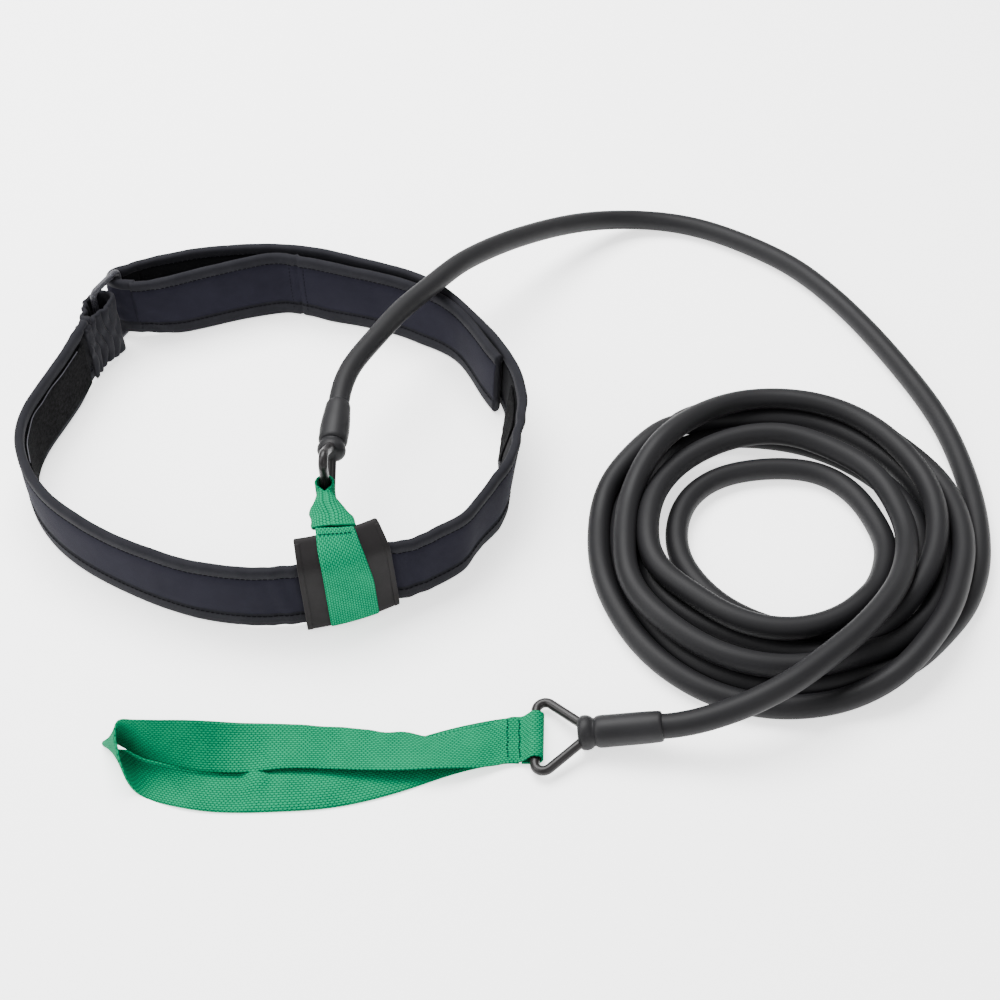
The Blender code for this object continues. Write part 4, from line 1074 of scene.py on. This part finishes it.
plain_sleeve = [(0.0, 0.0335), (0.0074, 0.0335), (0.0080, 0.0338), (0.0086, 0.0346), (0.0090, 0.0360), (0.0091, 0.0385),
                (0.0090, 0.0450), (0.0090, 0.0560), (0.0089, 0.0640), (0.0087, 0.0690), (0.0084, 0.0704), (0.0078, 0.0710),
                (0.0070, 0.0712), (0.0, 0.0712)]
taper_sleeve = [(0.0, 0.0335), (0.0074, 0.0335), (0.0080, 0.0338), (0.0086, 0.0346), (0.0089, 0.0360), (0.0089, 0.0385),
                (0.0091, 0.0430), (0.0089, 0.0490), (0.0084, 0.0550), (0.0079, 0.0600), (0.0076, 0.0632), (0.0072, 0.0644),
                (0.0066, 0.0650), (0.0, 0.0650)]
ring_a, plug_a, sleeve_a = fitting("a", BAR_A, AXIS_A, ACROSS_A, SIDE_A, "near_fitting", taper_sleeve,
                                   collar_profile(0.0244, 0.0086, 0.0074, 0.0350))
ring_b, plug_b, sleeve_b = fitting("b", BAR_B, AXIS_B, ACROSS_B, SIDE_B, "belt_and_tube", plain_sleeve,
                                   collar_profile(0.0244, 0.0097, 0.0078, 0.0350))

# ---------------------------------------------------------------- the tube
ARC_ROUTE = [tuple(BAR_A + AXIS_A * 0.0628), tuple(BAR_A + AXIS_A * 0.0700),
             (-0.0958, 0.0430, 0.0672), (-0.0900, 0.0590, 0.0672), (-0.0782, 0.0831, 0.0660), (-0.0642, 0.1110, 0.0635),
             (-0.0517, 0.1307, 0.0612), (-0.0318, 0.1594, 0.0588), (-0.0238, 0.1700, 0.0570), (-0.0035, 0.1945, 0.0500),
             (0.0286, 0.2295, 0.0360), (0.0623, 0.2583, 0.0220), (0.0969, 0.2751, 0.0112), (0.1308, 0.2755, 0.0076),
             (0.1632, 0.2623, 0.0074), (0.1942, 0.2410, 0.0074), (0.2140, 0.2226, 0.0074), (0.2324, 0.1978, 0.0074),
             (0.2494, 0.1683, 0.0074), (0.2651, 0.1347, 0.0074), (0.2795, 0.0984, 0.0074), (0.2921, 0.0544, 0.0074)]
# the coil, turn by turn, as it was laid down: (degrees about its centre, radius in mm, height in mm)
COIL = [
    (20.4, 127.4, 7.2), (5.4, 118.4, 7.2), (-13, 112.8, 7.2), (-35, 108.5, 7.2), (-55, 105.5, 7.2), (-75, 106, 7.2),
    (-102, 112.3, 7.2), (-108.3, 113.5, 7.2), (-118.5, 113.7, 7.2), (-129.7, 112.1, 7.2), (-150, 107.4, 7.2), (-165, 105.3, 7.2), (-180, 103.6, 7.2),
    (-200, 105.5, 7.2), (-215, 107.5, 7.2), (-230, 113.4, 7.2), (-250, 119.8, 7.2), (-270, 123.6, 7.2), (-290, 123, 7.2),
    (-310, 118, 7.2), (-335, 110, 11), (-363.1, 102.8, 15.5), (-382.6, 101.9, 18.5), (-398.5, 105, 20.8), (-414.1, 110.3, 20.5),
    (-423.3, 114.6, 18), (-432.4, 117.2, 13.5), (-442, 119.5, 8.8), (-454.2, 122.7, 7.2), (-469.8, 125.6, 7.2), (-486.7, 125.5, 7.2),
    (-505.5, 122.3, 7.2), (-533.4, 117.9, 7.2), (-556.2, 116.2, 8.5), (-569.8, 113.9, 17), (-580.6, 112.5, 21), (-593.8, 112.7, 17),
    (-612, 110, 9), (-637, 110, 7.2), (-660, 106, 7.2), (-690, 99, 7.2), (-720, 94.5, 7.2), (-745, 93.5, 7.2),
    (-770, 95, 9.5), (-795, 100, 15), (-815, 104.5, 19.5), (-832.8, 108.8, 20.9), (-853, 109.2, 20.5), (-871.2, 109.4, 20),
    (-886.7, 105.8, 19.5), (-909.8, 101, 20.5), (-919.1, 100.4, 23), (-933.4, 99.5, 31), (-955.1, 102.5, 30), (-979.4, 113.7, 21),
    (-996.2, 115.5, 19.5), (-1012.8, 113, 19.5), (-1028.5, 107, 19.5), (-1045.6, 99.8, 20), (-1059.8, 95, 20.5), (-1072.9, 90.4, 20.5),
    (-1086.6, 86.3, 20.5), (-1104.8, 82.9, 20), (-1119.9, 81.2, 17.5), (-1142, 84.5, 11), (-1165, 85, 7.2), (-1188, 84.6, 7.2),
    (-1215, 86.8, 7.2), (-1232, 90.4, 7.2), (-1246, 91.2, 7.2), (-1260, 89.6, 7.2), (-1280, 91.5, 7.2), (-1302, 98.5, 7.2), (-1314, 102.0, 7.2), (-1328, 99.5, 7.2),
    (-1342, 92.5, 7.2), (-1357, 88.5, 7.2), (-1380, 84, 7.2), (-1410, 82.5, 7.2), (-1440, 80, 7.2), (-1480, 75, 7.2),
    (-1515, 71.5, 7.2), (-1540, 69.5, 7.2), (-1570, 67.5, 7.2), (-1590, 67.5, 7.2), (-1608.6, 68.9, 7.2), (-1629, 69.3, 7.2),
    (-1653.1, 69.6, 7.2), (-1677.1, 67.1, 7.2), (-1697.9, 64, 7.2), (-1717, 63.9, 7.2), (-1737.2, 64.3, 7.2), (-1760.1, 60.6, 7.2),
    (-1782.2, 57.5, 7.2), (-1803.5, 57.6, 9.5), (-1823.4, 58, 12.5), (-1844, 62.1, 16), (-1859.8, 67, 19), (-1874.7, 71.7, 20.5),
    (-1893.9, 77.4, 20.8), (-1912.5, 80.7, 20.8), (-1930.3, 81.6, 20.6), (-1945.8, 83.5, 20.5), (-1958.4, 88.4, 20), (-1971.9, 89.3, 19.8),
    (-1991.7, 87.4, 19.8), (-2008.9, 86.1, 19.8), (-2027.1, 84.4, 19.8), (-2051, 83.7, 19.6), (-2075.9, 82.3, 19.6), (-2100.2, 76.1, 19.6),
    (-2119, 74.1, 19.8), (-2141.4, 69.2, 20.2), (-2161.4, 68.3, 21.5), (-2176.4, 68.4, 24), (-2196.9, 72.2, 29), (-2218.6, 81.6, 34),
    (-2237, 96.2, 35.8), (-2246.9, 107.9, 36.2), (-2255.7, 123.5, 36.2), (-2261.8, 135.1, 34.8), (-2267.1, 145, 31.6), (-2271.8, 153.3, 27.6),
    (-2275.5, 159.7, 24.2),
]
coil_points = [(COIL_CENTRE[0] + r / 1000 * math.cos(math.radians(a)), COIL_CENTRE[1] + r / 1000 * math.sin(math.radians(a)), z / 1000)
               for a, r, z in COIL]
route = ARC_ROUTE + coil_points + [tuple(BAR_B + AXIS_B * 0.0790), tuple(BAR_B + AXIS_B * 0.0695)]
line = smooth(route, 0.006)


def settle(p, clear, rounds):
    """Moves the turns that lie in one another apart, and keeps them near where they are seen."""
    first = p.copy()
    n = len(p)
    i, j = np.triu_indices(n, 6)
    for _ in range(rounds):
        v = p[i] - p[j]
        d = np.linalg.norm(v, axis=1)
        near = d < clear
        a, b, v, d = i[near], j[near], v[near], d[near]
        push = v / np.maximum(d, 1e-6)[:, None] * ((clear - d) / 2)[:, None]
        move, count = np.zeros_like(p), np.zeros(n)
        np.add.at(move, a, push)
        np.add.at(move, b, -push)
        np.add.at(count, a, 1)
        np.add.at(count, b, 1)
        p = p + move / np.maximum(count, 1)[:, None] * 0.9
        q = p.copy()
        q[2:-2] = p[2:-2] + 0.25 * (-(p[:-4] + p[4:]) / 6 + (p[1:-3] + p[3:-1]) * 4 / 6 - p[2:-2])
        p = q + (first - q) * 0.02
        p[:, 2] = np.maximum(p[:, 2], 0.0071)
        p[:4], p[-4:] = first[:4], first[-4:]
    return p


line = settle(line, 0.0139, 240)
line = smooth(line[::2] if len(line) % 2 else np.vstack([line[::2], line[-1:]]), 0.0035)
line_s = distances(line)
full = line_s[-1]


def tube_width(s):
    """The tube is drawn a little thinner beside the near fitting."""
    return 0.00700 - 0.00055 * (1 - ease(s, 0.02, 0.16))


CUT_1, CUT_2 = 0.104, 0.262
cuts = [int(np.argmin(np.abs(line_s - c))) for c in (CUT_1, CUT_2)]
spans = [(0, cuts[0]), (cuts[0], cuts[1]), (cuts[1], len(line) - 1)]
_, tube_normals, tube_sides = frames(line, (0, 0, 1))
angle = np.linspace(0, 2 * math.pi, 26, endpoint=False)
tube_radii = tube_width(line_s) * (1 + 0.008 * wobble(line_s, 4.0, (0.21, 0.093, 0.047)))
tube_rows = line[:, None] + (tube_normals[:, None] * np.cos(angle)[None, :, None]
                             + tube_sides[:, None] * np.sin(angle)[None, :, None]) * tube_radii[:, None, None]
tubes = []
for k, (a, b) in enumerate(spans):
    made = loft("tube_run_%d" % (k + 1), tube_rows[a:b + 1], [RUBBER], u=line_s[a:b + 1], v=np.linspace(0, 0.044, 27), caps=False)
    tubes.append(made)
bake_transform(tubes[0])
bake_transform(tubes[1])
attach(tubes[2], "belt_and_tube")
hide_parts("tube_bend")
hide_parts("tube_arc", "tube_coil", "tube_lead")

# ---------------------------------------------------------------- the hand loop
near_y, far_y = BAR_B[1] - 0.01475, BAR_B[1] + 0.01475
skew = 0.01475 * float(ACROSS_B[0] / ACROSS_B[1])
strap_r = RING_WIRE / 2 + 0.0006 + WEBBING_THICK / 2
hand_stations = [
    (0.0110 - skew, near_y, 0.0011, 0.0110 + skew, far_y, 0.0011),
    (0.0030 - skew, near_y, 0.0011, 0.0030 + skew, far_y, 0.0011),
    (-0.0242, -0.2058, 0.0010, -0.0290, -0.1775, 0.0010),
    (-0.0529, -0.2170, 0.0010, -0.0605, -0.1890, 0.0010),
    (-0.0881, -0.2270, 0.0010, -0.0930, -0.1985, 0.0010),
    (-0.1200, -0.2300, 0.0010, -0.1215, -0.2010, 0.0010),
    (-0.1520, -0.2304, 0.0010, -0.1515, -0.2014, 0.0010),
    (-0.1780, -0.2262, 0.0010, -0.1810, -0.1975, 0.0010),
    (-0.1964, -0.2191, 0.0014, -0.2048, -0.1914, 0.0010),
    (-0.2021, -0.2152, 0.0100, -0.2121, -0.1907, 0.0011),
    (-0.2058, -0.2081, 0.0192, -0.2178, -0.1891, 0.0014),
    (-0.2077, -0.2016, 0.0236, -0.2208, -0.1874, 0.0020),
    (-0.2086, -0.1969, 0.0277, -0.2192, -0.1861, 0.0030),
    (-0.2065, -0.1932, 0.0317, -0.2129, -0.1881, 0.0040),
    (-0.2004, -0.1930, 0.0327, -0.2040, -0.1934, 0.0042),
    (-0.1934, -0.1928, 0.0324, -0.1956, -0.1977, 0.0042),
    (-0.1842, -0.1917, 0.0305, -0.1863, -0.2006, 0.0040),
    (-0.1685, -0.1903, 0.0278, -0.1700, -0.2052, 0.0040),
    (-0.1535, -0.1850, 0.0190, -0.1530, -0.2071, 0.0044),
    (-0.1396, -0.1790, 0.0094, -0.1372, -0.2072, 0.0048),
    (-0.1196, -0.1770, 0.0054, -0.1170, -0.2059, 0.0060),
    (-0.0933, -0.1780, 0.0049, -0.0912, -0.2069, 0.0070),
    (-0.0727, -0.1795, 0.0038, -0.0708, -0.2079, 0.0080),
    (-0.0537, -0.1806, 0.0033, -0.0522, -0.2086, 0.0090),
    (-0.0369, -0.1822, 0.0031, -0.0347, -0.2086, 0.0110),
    (-0.0168, -0.1784, 0.0031, -0.0164, -0.2060, 0.0070),
    (-0.0010, -0.1735, 0.0030, -0.0010, -0.2018, 0.0034),
    (0.0060 + skew, far_y - 0.0004, 0.0030, 0.0060 - skew, near_y - 0.0006, 0.0030),
    (0.0120 + skew, far_y, 0.0030, 0.0120 - skew, near_y, 0.0030),
]
for degrees in (128, 90, 50, 10, -30, -70, -105):
    a = math.radians(degrees)
    x, z = BAR_B[0] + strap_r * math.cos(a), BAR_B[2] + strap_r * math.sin(a)
    hand_stations.append((x + skew, far_y, z, x - skew, near_y, z))
hand_stations.append((0.0124 + skew, far_y, 0.0011, 0.0124 - skew, near_y, 0.0011))
hand_grid = ribbon(hand_stations, 460, False, 17)
hand_mid = hand_grid[:, 8]
hand_s = distances(hand_mid)
left_end = float(hand_s[int(np.argmin(hand_mid[:, 0]))])
v = np.linspace(0, 1, 17)[None, :]
above = ((hand_s > left_end) & (hand_mid[:, 0] < 0.004)).astype(float)[:, None]
below = (hand_s < left_end).astype(float)[:, None]
normal = units(np.cross(np.gradient(hand_grid, axis=0), np.gradient(hand_grid, axis=1)))
raised = np.clip((hand_grid[..., 2] - 0.003) / 0.008, 0, 1)
wave = 0.0009 * wobble(hand_s, 2.0, (0.11, 0.062, 0.034))[:, None] * raised * above
hand_grid = hand_grid + normal * wave[..., None]
# the lower layer rises in a soft ridge under the upper one's edge
x_at = hand_grid[..., 0]
ridge = ease(x_at, -0.1440 + 0.012 * v, -0.1330 + 0.012 * v) * (1 - ease(x_at, -0.105, -0.060)) * np.sin(np.pi * np.clip(v, 0, 1)) ** 0.8
hand_grid[..., 2] += 0.0024 * ridge * below
crease_v = np.linspace(0, 1, 17)[None, :]
crease = bell(x_at + 0.004 * np.cos(crease_v * 5), -0.1370, 0.0085) * ease(crease_v, 0.20, 0.75) * (hand_s < left_end)[:, None]
hand_grid[..., 2] += 0.0040 * crease
# the upper edge dips in three places
dips = bell(x_at, -0.0400, 0.012) * 0.0014 + bell(x_at, -0.0640, 0.010) * 0.0012 + bell(x_at, -0.0990, 0.012) * 0.0006
hand_grid[..., 1] -= dips * above * (1 - v) ** 2
strap = thick_sheet("hand_loop_cloth", hand_grid, WEBBING_THICK, [WEBBING])
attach(strap, "hand_strap")
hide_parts("hand_loop")

# stitch rows that close the strap beside the ring
found = []
for x in (0.0107, 0.0041):
    line_pts = []
    for share in np.linspace(0, 1, 40):
        y = near_y + 0.0012 + (far_y - near_y - 0.0024) * share
        line_pts.append((x + 0.0003 * math.sin(share * 17), y, 0.0))
    line_pts = np.array(line_pts)
    # height of the upper layer there
    pts = strap.data.vertices
    co = np.array([v.co for v in pts]) + SHIFT
    for p in line_pts:
        near = np.linalg.norm(co[:, :2] - p[:2], axis=1) < 0.0016
        p[2] = co[near, 2].max() if near.any() else 0.0065
    line_pts[:, 2] = np.convolve(np.pad(line_pts[:, 2], 3, mode="edge"), np.ones(7) / 7, mode="valid")
    found += stitched(line_pts, np.repeat([[0, 0, 1.0]], len(line_pts), axis=0), 0.0024, 0.0019)
stitches = capsules("hand_stitches", found, 0.00035, [THREAD_DARK], sides=6)
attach(stitches, "hand_strap")

# ---------------------------------------------------------------- stitches on the sleeve's webbing
found = []
for z_share in (0.955,):
    index = int(len(web_grid) * z_share)
    row = web_grid[index]
    normal = units(np.cross(np.gradient(web_grid, axis=0)[index], np.gradient(web_grid, axis=1)[index]))
    if normal[10][2] < 0:
        normal = -normal
    fine = even(row + normal * (WEBBING_THICK / 2 + 0.0001), count=60)
    ups = even(normal, count=60)
    found += stitched(fine, ups, 0.0024, 0.0019)
stitches = capsules("slider_stitches", found, 0.00033, [THREAD_DARK], sides=6)
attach(stitches, "sliding_sleeve")

# ---------------------------------------------------------------- stage
mesh = bpy.data.meshes.new("floor")
mesh.from_pydata([(-6, -6, 0), (6, -6, 0), (6, 6, 0), (-6, 6, 0)], [], [(0, 1, 2, 3)])
floor = bpy.data.objects.new("floor", mesh)
bpy.context.scene.collection.objects.link(floor)
floor_maker = Maker("stage_floor", (0.95, 0.95, 0.95, 1.0), 0.9, spec=0.0)
floor_maker.shader.inputs["Emission Color"].default_value = (1.0, 1.0, 1.0, 1.0)
floor_maker.shader.inputs["Emission Strength"].default_value = 1.5
floor_mat = floor_maker.material
mesh.materials.append(floor_mat)
floor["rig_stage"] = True


def area(name, place, look, size, power, shape="RECTANGLE"):
    light = bpy.data.lights.new(name, "AREA")
    light.shape = shape
    light.size = size[0]
    light.size_y = size[1]
    light.energy = power
    obj = bpy.data.objects.new(name, light)
    obj.location = place
    obj.rotation_euler = (Vector(look) - Vector(place)).to_track_quat("-Z", "Y").to_euler()
    bpy.context.scene.collection.objects.link(obj)
    obj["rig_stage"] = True


area("top_box", (-0.35, 0.75, 1.70), (0.10, 0.02, 0.0), (1.7, 1.2), 110)
area("left_box", (-1.5, -0.4, 1.1), (0.0, 0.0, 0.0), (1.0, 1.2), 26)
area("front_fill", (1.1, -1.5, 1.3), (0.1, 0.0, 0.0), (1.3, 1.0), 12)
world = bpy.data.worlds.new("studio")
world.use_nodes = True
world.node_tree.nodes["Background"].inputs[0].default_value = (1.0, 1.0, 1.0, 1.0)
world.node_tree.nodes["Background"].inputs[1].default_value = 0.75
bpy.context.scene.world = world

# ---------------------------------------------------------------- sizes and finish
bpy.context.view_layer.update()
low, high = np.full(3, 1e9), np.full(3, -1e9)
for obj in bpy.context.scene.objects:
    if obj.type != "MESH" or obj.get("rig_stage") or obj.hide_render:
        continue
    world_matrix = np.array(obj.matrix_world)
    co = np.zeros(len(obj.data.vertices) * 3, np.float32)
    obj.data.vertices.foreach_get("co", co)
    co = co.reshape(-1, 3) @ world_matrix[:3, :3].T + world_matrix[:3, 3]
    low, high = np.minimum(low, co.min(axis=0)), np.maximum(high, co.max(axis=0))
